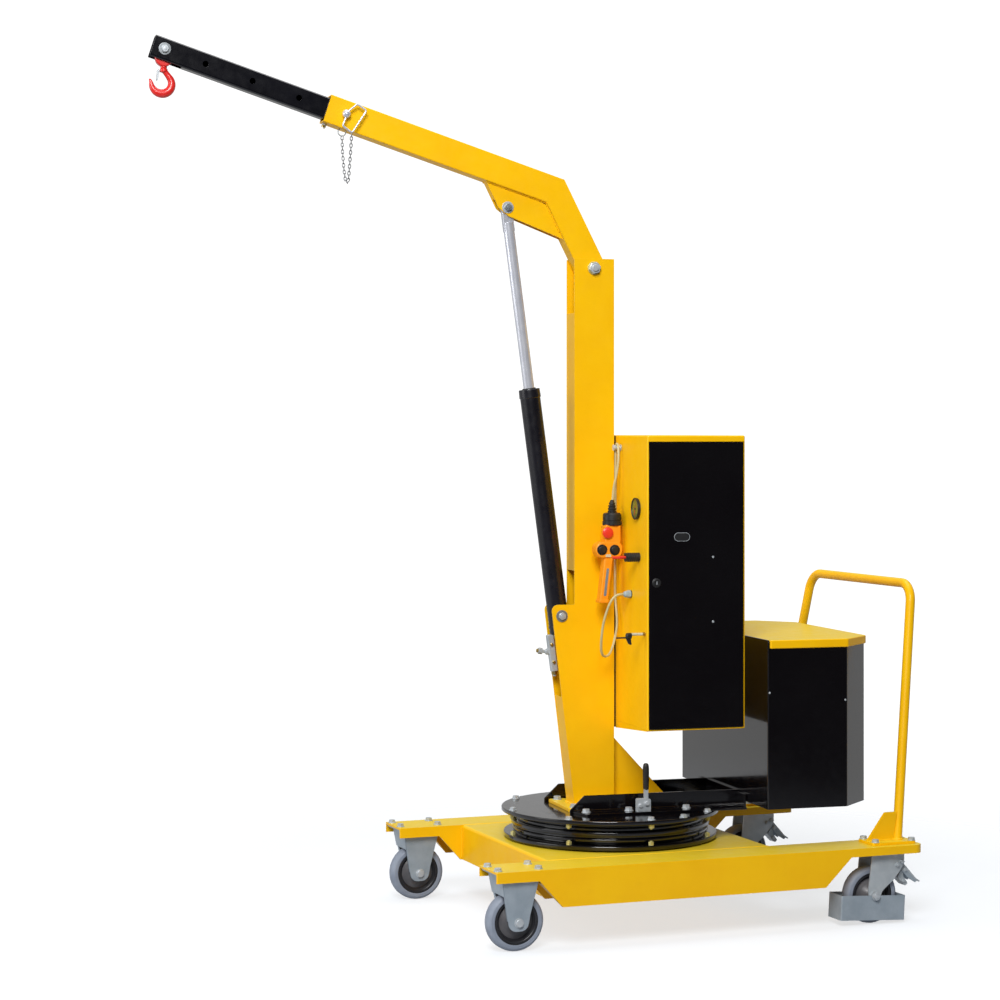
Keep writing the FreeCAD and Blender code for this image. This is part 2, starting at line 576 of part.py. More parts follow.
leg_back = (pvx + bx * half_tall, pvz + bz * half_tall)
leg_front = (pvx - bx * half_tall, pvz - bz * half_tall)
heel = meet(leg_back, (lx, lz), (ex, ez), (ax, az))
crook = meet(leg_front, (lx, lz), on_arm(0, tall), (ax, az))
arm_pts = [heel, on_arm(arm, 0), on_arm(arm, tall), crook, leg_front, leg_back]
arm_solid = plate("arm_solid", "XZ", arm_pts, "-jib_half", "jib_half")
foot_round = cyl("leg_round", "y", ("pivot_x", "-jib_half", "pivot_z"), half_tall, "2 * jib_half")
gx0, gz0 = d("lug_x"), d("lug_z")
lug_pts = [on_arm(211, tall - 6), (gx0 - 25.0, gz0 - 10.0), (gx0 + 4.0, gz0 - 26.7), (-140.0, 1927.0),
           (-140.0, 1985.0), on_arm(60, tall - 8)]
lugs = []
for tag, lo, hi in (("l", "-lug_half", "lug_plate - lug_half"), ("r", "lug_half - lug_plate", "lug_half")):
    lugs.append(plate("lug_" + tag, "XZ", lug_pts, lo, hi))
    lugs.append(cyl("lug_round_" + tag, "y", ("lug_x", lo, "lug_z"), "lug_rad", "lug_plate"))
lugs.append(cyl("lug_bolt_head", "-y", ("lug_x", "-lug_half", "lug_z"), 15.0, 13.0))
lugs.append(cyl("lug_bolt_nut", "y", ("lug_x", "lug_half", "lug_z"), 15.0, 13.0))
arm_frame = Rotation(Vector(0, 1, 0), d("jib_rise"))   # turns -X up to the arm's slope
bore = doc.addObject("Part::Box", "arm_bore")
bind(bore, "Length", "bore_depth + 40")
bind(bore, "Width", "2 * (jib_half - jib_wall)")
bind(bore, "Height", "jib_tall - 2 * jib_wall")
bp = on_arm(arm + 40, tall - d("jib_wall"))
bore.Placement = Placement(Vector(bp[0], -(d("jib_half") - d("jib_wall")), bp[1]), arm_frame)
pin_p = on_arm(d("pin_at"), half_tall)
jib = cut("jib_all", fuse("jib_mass", [arm_solid, foot_round] + lugs), [
    bore,
    cyl("jib_pivot_hole", "y", ("pivot_x", -60.0, "pivot_z"), "pivot_run", 120.0),
    cyl("jib_pin_hole", "y", (pin_p[0], -60.0, pin_p[1]), "pin_hole_rad", 120.0),
])
node("jib_arm", jib, True)
# locking pin: its shank ends in the jib's wall
node("jib_lock_pin", fuse("lock_pin_all", [
    cyl("lock_pin_shank", "y", (pin_p[0], "-jib_half", pin_p[1]), 8.4, "jib_wall"),
    cyl("lock_pin_head", "-y", (pin_p[0], "-jib_half", pin_p[1]), 13.0, 12.0),
]), True)

# extension: square tube with pin holes, open end and a slot for the hook eye
eh, ew = d("ext_tall"), d("ext_wall")
edge = (tall - eh) / 2
e0 = on_arm(d("ext_tip"), edge + eh)
ext_outer = doc.addObject("Part::Box", "ext_outer")
bind(ext_outer, "Length", "ext_tip - ext_back")
bind(ext_outer, "Width", "2 * ext_half")
bind(ext_outer, "Height", "ext_tall")
ext_outer.Placement = Placement(Vector(e0[0], -d("ext_half"), e0[1]), arm_frame)
ext_inner = doc.addObject("Part::Box", "ext_inner")
bind(ext_inner, "Length", "ext_tip - ext_back + 20")
bind(ext_inner, "Width", "2 * (ext_half - ext_wall)")
bind(ext_inner, "Height", "ext_tall - 2 * ext_wall")
e1 = on_arm(d("ext_tip") + 10, edge + eh - ew)
ext_inner.Placement = Placement(Vector(e1[0], -(d("ext_half") - ew), e1[1]), arm_frame)
ext_slot = doc.addObject("Part::Box", "ext_slot_box")
bind(ext_slot, "Length", "ext_slot + 10")
bind(ext_slot, "Width", "2 * (ext_half - ext_wall)")
bind(ext_slot, "Height", "3 * ext_wall")
e2 = on_arm(d("ext_tip") + 10, edge + eh + ew)
ext_slot.Placement = Placement(Vector(e2[0], -(d("ext_half") - ew), e2[1]), arm_frame)
ext_cuts = [ext_inner, ext_slot]
for i in range(4):
    hp = on_arm(d("pin_at") + d("hole_pitch") * i, half_tall)
    ext_cuts.append(cyl("ext_hole_%d" % i, "y", (hp[0], -40.0, hp[1]), "pin_hole_rad", 80.0))
tip = on_arm(d("tip_bolt_at"), d("tip_bolt_down"))
ext_tube = cut("ext_tube", ext_outer, ext_cuts)
extension = fuse("ext_all", [ext_tube,
                             cyl("tip_bolt", "y", (tip[0], "-ext_half", tip[1]), "tip_bolt_rad", "2 * ext_half"),
                             cyl("tip_bolt_head", "-y", (tip[0], "-ext_half", tip[1]), 15.0, 11.0),
                             cyl("tip_bolt_nut", "y", (tip[0], "ext_half", tip[1]), 15.0, 11.0)])
node("jib_extension", extension, True)

# hook: flat eye on the tip bolt, swivelling bowl, sprung latch
tx, tz = tip
ey, er = d("eye_half"), d("eye_rad")
low_c = tz - d("eye_low")
r0 = 14.0
tan_a = math.asin((er - r0) / d("eye_low"))
eye_side = [(tx - r0 * math.cos(tan_a), tz + r0 * math.sin(tan_a)), (tx + r0 * math.cos(tan_a), tz + r0 * math.sin(tan_a)),
            (tx + er * math.cos(tan_a), low_c + er * math.sin(tan_a)), (tx - er * math.cos(tan_a), low_c + er * math.sin(tan_a))]
hanger = cut("hanger_all", fuse("hanger_mass", [
    plate("eye_web", "XZ", eye_side, "-eye_half", "eye_half"),
    cyl("eye_top", "y", (tx, "-eye_half", tz), r0, "2 * eye_half"),
    cyl("eye_bottom", "y", (tx, "-eye_half", low_c), "eye_rad", "2 * eye_half"),
    cyl("eye_neck", "z", (tx, 0.0, tz - 51.0), 9.0, 12.0),
]), [cyl("eye_hole", "y", (tx, -30.0, tz), "tip_bolt_run", 60.0)])
node("hook_eye", hanger, True)
hw, hb = d("hook_wire"), d("hook_bowl")
bcx, bcz = tx - 4.0, tz - d("hook_drop")
bowl = doc.addObject("Part::Torus", "hook_bowl_ring")
bind(bowl, "Radius1", "hook_bowl")
bind(bowl, "Radius2", "hook_wire")
bowl.Angle3 = 232.0
# the ring's own X axis is turned to the point of the bowl's start, and its axis to +Y
bowl.Placement = Placement(Vector(bcx, 0, bcz), Rotation(Vector(0, 1, 0), -52.0) .multiply(Rotation(Vector(1, 0, 0), -90)))
sa = math.radians(52.0)
s_pt = Vector(bcx + hb * math.cos(sa), 0, bcz + hb * math.sin(sa))
top_pt = Vector(tx, 0, tz - 57.0)
way = top_pt - s_pt
hook = fuse("load_hook_all", [
    bowl,
    cyl("hook_back", way, (s_pt.x, 0.0, s_pt.z), "hook_wire", way.Length - 2.0),
    cyl("hook_collar", "z", (tx, 0.0, tz - 62.0), 10.6, 10.7),
])
sph = doc.addObject("Part::Sphere", "hook_knee")
sph.Radius = hw
sph.Placement = Placement(s_pt, Rotation())
ta = math.radians(52.0 - 232.0)
t_pt = Vector(bcx + hb * math.cos(ta), 0, bcz + hb * math.sin(ta))
point = doc.addObject("Part::Cone", "hook_point")
point.Radius1 = hw
point.Radius2 = 3.0
point.Height = 24.0
point.Placement = Placement(t_pt, Rotation(Vector(0, 0, 1), Vector(-0.25, 0, 1)))
hook.Shapes = hook.Shapes + [sph, point]
node("load_hook", hook, True)
la = Vector(tx - 14.5, 0, tz - 59.0)
lb = Vector(t_pt.x + 13.0, 0, t_pt.z + 11.0)
run = lb - la
run.normalize()
side_v = Vector(-run.z, 0, run.x)
lp = [la - side_v * 1.5, lb - side_v * 1.5, lb + side_v * 1.5, la + side_v * 1.5]
latch = plate("latch_plate", "XZ", [(p.x, p.z) for p in lp], -6.0, 6.0)
node("hook_latch", latch, True)

# ---------------------------------------------------------------- luffing cylinder
ox, oz = d("trunnion_x"), d("trunnion_z")
cyl_dir = Vector(gx0 - ox, 0, gz0 - oz)
reach = cyl_dir.Length
cyl_dir.normalize()
o_pt = Vector(ox, 0, oz)


def along(s):
    p = o_pt + cyl_dir * s
    return (p.x, 0.0, p.z)


ba, bb = d("barrel_above"), d("barrel_below")
barrel = cut("barrel_all", fuse("barrel_mass", [
    cyl("barrel_tube", cyl_dir, along(-bb), "barrel_rad", "barrel_above + barrel_below"),
    cyl("barrel_head", cyl_dir, along(ba - 24.0), "barrel_rad + 2", 24.0),
    cyl("trunnions", "y", ("trunnion_x", -44.0, "trunnion_z"), "trunnion_rad", 88.0),
    cyl("trunnion_cap_l", "-y", ("trunnion_x", -38.6, "trunnion_z"), 15.0, 9.0),
    cyl("trunnion_cap_r", "y", ("trunnion_x", 38.6, "trunnion_z"), 15.0, 9.0),
]), [
    cyl("barrel_bore_cut", cyl_dir, along(30.0), "barrel_bore", ba - 30.0 - 26.0),
    cyl("barrel_gland_cut", cyl_dir, along(ba - 40.0), "rod_run", 60.0),
])
node("cylinder_barrel", barrel, True)
def ahead(s, off):
    # beside the barrel's axis, on its front
    p = o_pt + cyl_dir * s + Vector(-cyl_dir.z, 0, cyl_dir.x) * off
    return (p.x, 0.0, p.z)


port_at = ahead(-bb - 50.0, 32.0)
valve = fuse("cyl_valve_all", [
    cyl("valve_block", cyl_dir, ahead(-bb - 104.0, 32.0), 10.5, 104.0),
    cyl("valve_nut", cyl_dir, ahead(-bb - 118.0, 32.0), 8.0, 15.0),
    cyl("valve_port", Vector(-1, 0, 0.13), port_at, 6.0, 38.0),
    cyl("valve_port_nut", Vector(-1, 0, 0.13), (port_at[0] - 32.0, 0.0, port_at[2] + 4.16), 9.0, 14.0),
])
node("cylinder_valve", valve, True)
# the bar is milled flat where it runs in between the lug's plates
tang = doc.addObject("Part::Box", "rod_tang")
bind(tang, "Length", "2 * rod_rad")
bind(tang, "Width", "2 * rod_eye_half")
bind(tang, "Height", 52.0)
tang_turn = Rotation(Vector(0, 0, 1), cyl_dir)
tang.Placement = Placement(Vector(*along(reach - 62.0)) - tang_turn.multVec(Vector(d("rod_rad"), d("rod_eye_half"), 0)), tang_turn)
rod = fuse("rod_all", [
    cyl("rod_bar", cyl_dir, along(ba - d("rod_inside")), "rod_rad", reach - ba + d("rod_inside") - 60.0),
    tang,
    cyl("rod_eye", "y", ("lug_x", "-rod_eye_half", "lug_z"), "rod_eye_rad", "2 * rod_eye_half"),
])
node("cylinder_rod", rod, True)

# ---------------------------------------------------------------- pendant and its cable
px, py, pt = d("pendant_x"), d("pendant_y"), d("pendant_top")
pendant = fuse("pendant_all", [
    plate("pendant_shell", "XZ", [
        (px - 29.0, pt - 71.0), (px + 24.0, pt - 71.0), (px + 24.0, pt - 115.0), (px + 28.0, pt - 129.0),
        (px + 26.0, pt - 153.0), (px + 14.0, pt - 168.0), (px, pt - 171.0), (px - 15.0, pt - 290.0),
        (px - 56.0, pt - 290.0), (px - 38.0, pt - 171.0), (px - 52.0, pt - 166.0), (px - 61.0, pt - 151.0),
        (px - 60.0, pt - 131.0), (px - 48.0, pt - 120.0), (px - 29.0, pt - 115.0)],
        py - 21.0, py + 21.0),
    cyl("pendant_cap", "z", (px, py, pt - 71.0), 26.0, 36.0),
    cyl("pendant_neck", "z", (px + 3.0, py, pt - 35.0), 11.0, 35.0),
    cyl("pendant_stop", "-y", (px - 20.0, py - 21.0, pt - 91.0), 16.0, 9.0),
    cyl("pendant_up", "-y", (px - 40.7, py - 21.0, pt - 142.0), 13.0, 6.0),
    cyl("pendant_down", "-y", (px - 3.0, py - 21.0, pt - 143.0), 13.0, 6.0),
])
node("pendant_control", pendant, True)

route = [
    (-18.0, -171.0, 925.0), (-33.0, -171.0, 925.0), (-46.0, -170.5, 917.0), (-56.0, -168.0, 901.0),
    (-63.5, -164.5, 880.0), (-69.5, -160.0, 857.0), (-73.0, -154.5, 833.0), (-74.0, -147.5, 808.0),
    (-73.0, -140.0, 785.0), (-70.5, -132.5, 769.0), (-66.5, -126.5, 756.0), (-59.5, -119.0, 748.0),
    (-48.0, -109.5, 745.0), (-36.5, -101.0, 749.5), (-28.0, -96.0, 760.5), (-21.0, -93.0, 777.5),
    (-14.5, -90.3, 799.0), (-8.8, -87.0, 824.0), (-6.2, -81.5, 849.0), (-5.2, -71.5, 877.0), (-5.5, -62.0, 915.0),
    (-6.0, -69.5, 1346.5), (-6.0, -90.5, 1346.5), (-7.5, -101.0, 1310.0), (-12.0, -104.0, 1276.0), (-18.0, -102.5, 1245.0),
    (-23.5, -100.0, 1216.0), (-25.0, -99.0, 1187.0),
]
cr = d("cable_rad")
pts = [Vector(*p) for p in route]
radii = []
for i in range(1, len(pts) - 1):
    a, b = pts[i - 1] - pts[i], pts[i + 1] - pts[i]
    turn = math.pi - math.acos(max(-1.0, min(1.0, a.dot(b) / (a.Length * b.Length))))
    radii.append(0.45 * min(a.Length, b.Length) / math.tan(turn / 2))
print("cable radii", [round(r, 1) for r in radii])
solid, length = pipe(pts, radii, cr)
cable = doc.addObject("Part::Feature", "cable_tube")
cable.Shape = solid
print("cable length", round(length, 1), "volume ratio", round(solid.Volume / (math.pi * cr * cr * length), 4))
node("pendant_cable", cable, True)

doc.recompute()

bad = [o.Name for o in doc.Objects if "Invalid" in o.State or "Error" in o.State]
if bad:
    raise RuntimeError("failed objects: %s" % bad)
for label, obj in nodes.items():
    shape = obj.Shape
    if shape.isNull() or not shape.isValid():
        raise RuntimeError("bad shape: %s" % label)
os.makedirs("parts", exist_ok=True)
for old in os.listdir("parts"):
    if old.endswith(".step") and old[:-5] not in nodes:
        os.remove(os.path.join("parts", old))
for label, obj in nodes.items():
    obj.Shape.exportStep(os.path.join("parts", label + ".step"))
    b = obj.Shape.BoundBox
    print("%-26s solids %d vol %9.1f cm3  x %7.1f %7.1f  y %7.1f %7.1f  z %7.1f %7.1f" % (
        label, len(obj.Shape.Solids), obj.Shape.Volume / 1000.0, b.XMin, b.XMax, b.YMin, b.YMax, b.ZMin, b.ZMax))
print("nodes", len(nodes))
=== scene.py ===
import json
import math
import bpy
import bmesh
from mathutils import Vector, Matrix

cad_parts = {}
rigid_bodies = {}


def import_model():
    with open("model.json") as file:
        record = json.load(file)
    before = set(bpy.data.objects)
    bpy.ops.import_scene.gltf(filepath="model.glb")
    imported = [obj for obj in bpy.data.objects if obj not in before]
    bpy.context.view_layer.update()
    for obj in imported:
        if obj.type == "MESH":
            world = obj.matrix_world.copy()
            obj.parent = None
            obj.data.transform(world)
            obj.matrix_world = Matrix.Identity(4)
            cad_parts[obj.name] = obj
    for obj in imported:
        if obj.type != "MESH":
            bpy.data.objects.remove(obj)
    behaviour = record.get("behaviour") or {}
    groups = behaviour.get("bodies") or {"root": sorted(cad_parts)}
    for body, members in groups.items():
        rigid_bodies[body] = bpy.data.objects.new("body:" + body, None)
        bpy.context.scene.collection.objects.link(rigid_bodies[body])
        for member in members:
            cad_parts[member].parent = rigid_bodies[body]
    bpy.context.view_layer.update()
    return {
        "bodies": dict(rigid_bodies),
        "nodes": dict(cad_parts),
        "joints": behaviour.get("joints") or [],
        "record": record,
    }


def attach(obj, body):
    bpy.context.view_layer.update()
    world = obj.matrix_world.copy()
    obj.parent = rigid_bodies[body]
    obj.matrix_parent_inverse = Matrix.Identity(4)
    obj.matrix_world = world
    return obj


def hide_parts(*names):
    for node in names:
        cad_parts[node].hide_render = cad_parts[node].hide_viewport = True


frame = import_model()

scene = bpy.context.scene
scene.view_settings.view_transform = "Standard"

# ---------------------------------------------------------------- frames, millimetres to metres
BASE = Matrix.Scale(0.001, 4)
UPPER = Matrix.Rotation(math.radians(-5.0), 4, "Z") @ BASE          # everything above the turntable
RISE = math.radians(17.8)
CA, SA = math.cos(RISE), math.sin(RISE)
EX, EZ = -152.0, 2102.0
# along the arm to its tip, sideways to the near side, up from the arm's top edge
ARM = UPPER @ Matrix(((-CA, 0, SA, EX), (0, -1, 0, 0), (SA, 0, CA, EZ), (0, 0, 0, 1)))
TRX, TRZ = -157.0, 857.0
CD = Vector((-154.0, 0.0, 1160.0)).normalized()
REACH = Vector((-154.0, 0.0, 1160.0)).length
# across, sideways and along the luffing cylinder
CYL = UPPER @ Matrix(((CD.z, 0, CD.x, TRX), (0, 1, 0, 0), (-CD.x, 0, CD.z, TRZ), (0, 0, 0, 1)))


def on_arm(along, down):
    return (EX - CA * along - SA * down, EZ + SA * along - CA * down)


# ---------------------------------------------------------------- camera
cam_data = bpy.data.cameras.new("camera")
cam_data.lens = 90.0
cam_data.sensor_width = 36.0
cam_data.shift_y = -0.0692
cam = bpy.data.objects.new("camera", cam_data)
cam.location = (-2.8713, -6.5977, 1.3838)
cam.rotation_euler = (math.radians(90), 0, math.radians(-21))
scene.collection.objects.link(cam)
scene.camera = cam


# ---------------------------------------------------------------- materials
def lin(r, g, b):
    out = []
    for c in (r, g, b):
        c = c / 255.0
        out.append(c / 12.92 if c <= 0.04045 else ((c + 0.055) / 1.055) ** 2.4)
    return (out[0], out[1], out[2], 1.0)


class Nodes:
    def __init__(self, name):
        self.mat = bpy.data.materials.new(name)
        self.mat.use_nodes = True
        self.nt = self.mat.node_tree
        self.p = self.nt.nodes["Principled BSDF"]
        self.co = self.nt.nodes.new("ShaderNodeTexCoord").outputs["Object"]

    def new(self, kind):
        return self.nt.nodes.new(kind)

    def link(self, a, b):
        self.nt.links.new(a, b)

    def noise(self, scale, detail=3.0, rough=0.55, stretch=None):
        n = self.new("ShaderNodeTexNoise")
        n.inputs["Scale"].default_value = scale
        n.inputs["Detail"].default_value = detail
        n.inputs["Roughness"].default_value = rough
        if stretch:
            m = self.new("ShaderNodeMapping")
            m.inputs["Scale"].default_value = stretch
            self.link(self.co, m.inputs["Vector"])
            self.link(m.outputs["Vector"], n.inputs["Vector"])
        else:
            self.link(self.co, n.inputs["Vector"])
        return n.outputs["Fac"]

    def cells(self, scale):
        n = self.new("ShaderNodeTexVoronoi")
        n.inputs["Scale"].default_value = scale
        self.link(self.co, n.inputs["Vector"])
        return n.outputs["Color"]

    def ramp(self, fac, lo, hi, a, b):
        n = self.new("ShaderNodeMapRange")
        n.inputs["From Min"].default_value = lo
        n.inputs["From Max"].default_value = hi
        n.inputs["To Min"].default_value = a
        n.inputs["To Max"].default_value = b
        self.link(fac, n.inputs["Value"])
        return n.outputs["Result"]

    def mix(self, fac, a, b):
        n = self.new("ShaderNodeMix")
        n.data_type = "RGBA"
        self.link(fac, n.inputs[0])
        for k, v in ((6, a), (7, b)):
            if isinstance(v, tuple):
                n.inputs[k].default_value = v
            else:
                self.link(v, n.inputs[k])
        return n.outputs[2]

    def bump(self, height, strength, distance):
        n = self.new("ShaderNodeBump")
        n.inputs["Strength"].default_value = strength
        n.inputs["Distance"].default_value = distance
        self.link(height, n.inputs["Height"])
        self.link(n.outputs["Normal"], self.p.inputs["Normal"])

    def put(self, **vals):
        for k, v in vals.items():
            self.p.inputs[k.replace("_", " ")].default_value = v
        return self


def paint(name, a, b, rough, coat, peel=(420.0, 0.06), blot=7.0, ior=1.5, dust=None, spec=0.5, painted_top_highlight=None):
    m = Nodes(name)
    col = m.mix(m.ramp(m.noise(blot, 4.0), 0.38, 0.62, 0.0, 1.0), a, b)
    if dust:
        col = m.mix(m.ramp(m.noise(55.0, 6.0, 0.7), 0.56, 0.78, 0.0, dust[0]), col, dust[1])
    if painted_top_highlight:
        # painted highlight: the colour turns paler on faces that look up, standing in for the sky's reflection on the
        # tops
        up_n = m.new("ShaderNodeSeparateXYZ")
        m.link(m.new("ShaderNodeTexCoord").outputs["Normal"], up_n.inputs["Vector"])
        col = m.mix(m.ramp(up_n.outputs["Z"], 0.72, 0.97, 0.0, painted_top_highlight[0]), col, painted_top_highlight[1])
    m.link(col, m.p.inputs["Base Color"])
    m.link(m.ramp(m.noise(38.0, 5.0, 0.6), 0.3, 0.7, rough[0], rough[1]), m.p.inputs["Roughness"])
    m.bump(m.noise(peel[0], 2.0), peel[1], 0.0006)
    m.put(Coat_Weight=coat, Coat_Roughness=0.07, IOR=ior, Specular_IOR_Level=spec)
    return m.mat


def metal(name, a, b, rough, grain=None, spangle=0.0, bump=0.05, metallic=1.0):
    m = Nodes(name)
    col = m.mix(m.ramp(m.noise(22.0, 5.0), 0.35, 0.65, 0.0, 1.0), a, b)
    if spangle:
        col = m.mix(m.ramp(m.cells(160.0), 0.0, 1.0, 0.0, spangle), col, b)
    m.link(col, m.p.inputs["Base Color"])
    fine = m.noise(grain[0], 4.0, 0.65, grain[1]) if grain else m.noise(260.0, 4.0, 0.6)
    m.link(m.ramp(fine, 0.3, 0.7, rough[0], rough[1]), m.p.inputs["Roughness"])
    m.bump(fine, bump, 0.0004)
    m.put(Metallic=metallic)
    return m.mat


def plastic(name, a, b, rough, scale=900.0, bump=0.12, ior=1.47):
    m = Nodes(name)
    m.link(m.mix(m.ramp(m.noise(30.0, 4.0), 0.35, 0.65, 0.0, 1.0), a, b), m.p.inputs["Base Color"])
    m.link(m.ramp(m.noise(70.0, 4.0), 0.3, 0.7, rough[0], rough[1]), m.p.inputs["Roughness"])
    m.bump(m.noise(scale, 3.0), bump, 0.0004)
    m.put(IOR=ior)
    return m.mat


# the yellow carries a painted highlight: a paler colour on upward faces stands in for the sky's reflection
YELLOW = paint("yellow_enamel", lin(250, 193, 7), lin(247, 187, 5), (0.30, 0.44), 0.03, dust=(0.10, lin(214, 156, 12)), spec=0.24, painted_top_highlight=(0.7, lin(228, 208, 56)))
BLACK = paint("black_enamel", lin(6, 4, 7), lin(9, 7, 10), (0.10, 0.20), 0.5, peel=(260.0, 0.035), blot=5.0)
BLACK_SATIN = paint("black_satin", lin(15, 14, 21), lin(20, 19, 27), (0.24, 0.36), 0.2, peel=(500.0, 0.10))
BLACK_TUBE = paint("black_tube_paint", lin(8, 8, 14), lin(12, 12, 19), (0.16, 0.25), 0.3, peel=(90.0, 0.012), blot=5.0)
ZINC = metal("zinc_plate", lin(205, 210, 214), lin(180, 187, 192), (0.30, 0.50), None, 0.35, 0.06, 0.4)
ZINC_FORK = metal("zinc_pressing", lin(170, 181, 190), lin(154, 166, 176), (0.38, 0.58), (140.0, (1.0, 1.0, 0.12)), 0.3, 0.06, 0.3)
ZINC_BRIGHT = metal("zinc_bright", lin(205, 210, 212), lin(186, 193, 197), (0.34, 0.52), (140.0, (1.0, 1.0, 0.12)), 0.3, 0.06, 0.45)
CHAIN = metal("chain_steel", lin(150, 152, 154), lin(118, 120, 124), (0.34, 0.50), None, 0.0, 0.05, 0.6)
ZINC_GOLD = metal("passivated_nut", lin(216, 206, 140), lin(190, 184, 130), (0.30, 0.48), None, 0.3, 0.05, 0.55)
CHROME = metal("chromed_rod", lin(226, 228, 237), lin(212, 215, 226), (0.20, 0.30), (90.0, (1.0, 1.0, 0.02)), 0.0, 0.03, 0.5)
TYRE = plastic("grey_tyre_rubber", lin(142, 150, 164), lin(130, 138, 153), (0.50, 0.68), 520.0, 0.25)
RIM = plastic("black_rim", lin(34, 34, 38), lin(44, 44, 48), (0.30, 0.44), 600.0, 0.12)
WEB = plastic("grey_wheel_web", lin(98, 96, 98), lin(82, 81, 84), (0.28, 0.42), 600.0, 0.10)
HUB = plastic("grey_hub", lin(116, 120, 128), lin(98, 102, 110), (0.36, 0.52), 600.0, 0.12)
RED = paint("red_enamel", lin(226, 44, 38), lin(214, 36, 32), (0.28, 0.42), 0.4, peel=(500.0, 0.08), blot=30.0)
ORANGE = plastic("orange_shell", lin(248, 156, 22), lin(243, 147, 17), (0.34, 0.48), 1100.0, 0.16)
BLACK_PL = plastic("black_moulding", lin(24, 24, 25), lin(34, 34, 35), (0.36, 0.52), 1100.0, 0.2)
GREY_PL = plastic("grey_moulding", lin(126, 136, 148), lin(112, 122, 134), (0.35, 0.5), 1100.0, 0.15)
PALE_PL = plastic("pale_plate", lin(214, 206, 180), lin(196, 188, 160), (0.35, 0.5), 1100.0, 0.08)
RED_PL = plastic("red_button", lin(232, 62, 40), lin(220, 52, 34), (0.28, 0.4), 1100.0, 0.10)
CABLE = plastic("cream_sheath", lin(196, 186, 140), lin(182, 172, 126), (0.38, 0.52), 900.0, 0.12)
BRASS = metal("brass_fitting", lin(214, 190, 120), lin(190, 166, 98), (0.24, 0.4), None, 0.0, 0.05)
DIAL = plastic("dial_face", lin(126, 126, 50), lin(96, 98, 40), (0.18, 0.28), 900.0, 0.04)
GLAND = plastic("gland_moulding", lin(160, 176, 182), lin(146, 163, 170), (0.32, 0.46), 1100.0, 0.12)
ZINC_WASHER = metal("washer_zinc", lin(150, 155, 158), lin(128, 134, 138), (0.30, 0.48), None, 0.2, 0.05, 0.55)


# ---------------------------------------------------------------- mesh helpers
def rnd(pts, r=0.0, n=5):
    """A closed outline with its corners rounded; a point's third value is its own radius."""
    out = []
    k = len(pts)
    for i, p in enumerate(pts):
        rad = p[2] if len(p) > 2 else r
        q = Vector((p[0], p[1]))
        a = Vector(pts[i - 1][:2]) - q
        b = Vector(pts[(i + 1) % k][:2]) - q
        la, lb = a.length, b.length
        a.normalize()
        b.normalize()
        ang = math.acos(max(-1.0, min(1.0, a.dot(b))))
        if rad <= 0 or ang > math.pi - 0.02:
            out.append((q.x, q.y))
            continue
        back = min(rad / math.tan(ang / 2), 0.48 * la, 0.48 * lb)
        rad = back * math.tan(ang / 2)
        mid = (a + b).normalized()
        c = q + mid * (rad / math.sin(ang / 2))
        s = q + a * back - c
        e = q + b * back - c
        a0 = math.atan2(s.y, s.x)
        da = math.atan2(e.y, e.x) - a0
        while da > math.pi:
            da -= 2 * math.pi
        while da < -math.pi:
            da += 2 * math.pi
        for j in range(n + 1):
            t = a0 + da * j / n
            out.append((c.x + rad * math.cos(t), c.y + rad * math.sin(t)))
    return out


LAY = {"XZ": lambda a, b, t: (a, t, b), "XY": lambda a, b, t: (a, b, t), "YZ": lambda a, b, t: (t, a, b)}


def bevel(bm, w, seg=2, ang=25.0, pick=None):
    lim = math.radians(ang)
    es = [e for e in bm.edges if len(e.link_faces) == 2 and e.calc_face_angle(0.0) > lim and (pick is None or pick(e))]
    if es:
        bmesh.ops.bevel(bm, geom=es, offset=w, offset_type="OFFSET", segments=seg, profile=0.5, affect="EDGES", clamp_overlap=True)
    return bm


def prism(pts, plane, lo, hi, bev=0.0, seg=2, ang=25.0):
    bm = bmesh.new()
    lay = LAY[plane]
    a = [bm.verts.new(lay(p[0], p[1], lo)) for p in pts]
    b = [bm.verts.new(lay(p[0], p[1], hi)) for p in pts]
    bm.faces.new(a)
    bm.faces.new(list(reversed(b)))
    for i in range(len(a)):
        j = (i + 1) % len(a)
        bm.faces.new((a[j], a[i], b[i], b[j]))
    bmesh.ops.recalc_face_normals(bm, faces=bm.faces[:])
    if bev:
        bevel(bm, bev, seg, ang)
    return bm


def block(x, y, z, bev=0.0, seg=2):
    return prism([(x[0], y[0]), (x[1], y[0]), (x[1], y[1]), (x[0], y[1])], "XY", z[0], z[1], bev, seg)


def ring_prism(outer, inner, plane, lo, hi, bev=0.0, seg=2):
    """A closed wall between two outlines with as many points each."""
    bm = bmesh.new()
    lay = LAY[plane]
    n = len(outer)
    rows = [[bm.verts.new(lay(p[0], p[1], t)) for p in o] for o, t in ((outer, lo), (outer, hi), (inner, hi), (inner, lo))]
    for k in range(4):
        a, b = rows[k], rows[(k + 1) % 4]
        for i in range(n):
            j = (i + 1) % n
            bm.faces.new((a[i], a[j], b[j], b[i]))
    bmesh.ops.recalc_face_normals(bm, faces=bm.faces[:])
    if bev:
        bevel(bm, bev, seg, 40.0)
    return bm


def lathe(prof, seg=48, closed=False, spin=0.0):
    """Turned about local Z from (radius, height) points."""
    bm = bmesh.new()
    rows = []
    for r, h in prof:
        if r < 1e-6:
            rows.append([bm.verts.new((0, 0, h))])
        else:
            rows.append([bm.verts.new((r * math.cos(2 * math.pi * i / seg + spin), r * math.sin(2 * math.pi * i / seg + spin), h)) for i in range(seg)])
    pairs = list(zip(rows, rows[1:]))
    if closed:
        pairs.append((rows[-1], rows[0]))
    for a, b in pairs:
        for i in range(seg):
            j = (i + 1) % seg
            if len(a) == 1 and len(b) == 1:
                continue
            if len(a) == 1:
                bm.faces.new((a[0], b[j], b[i]))
            elif len(b) == 1:
                bm.faces.new((a[i], a[j], b[0]))
            else:
                bm.faces.new((a[i], a[j], b[j], b[i]))
    bmesh.ops.recalc_face_normals(bm, faces=bm.faces[:])
    return bm


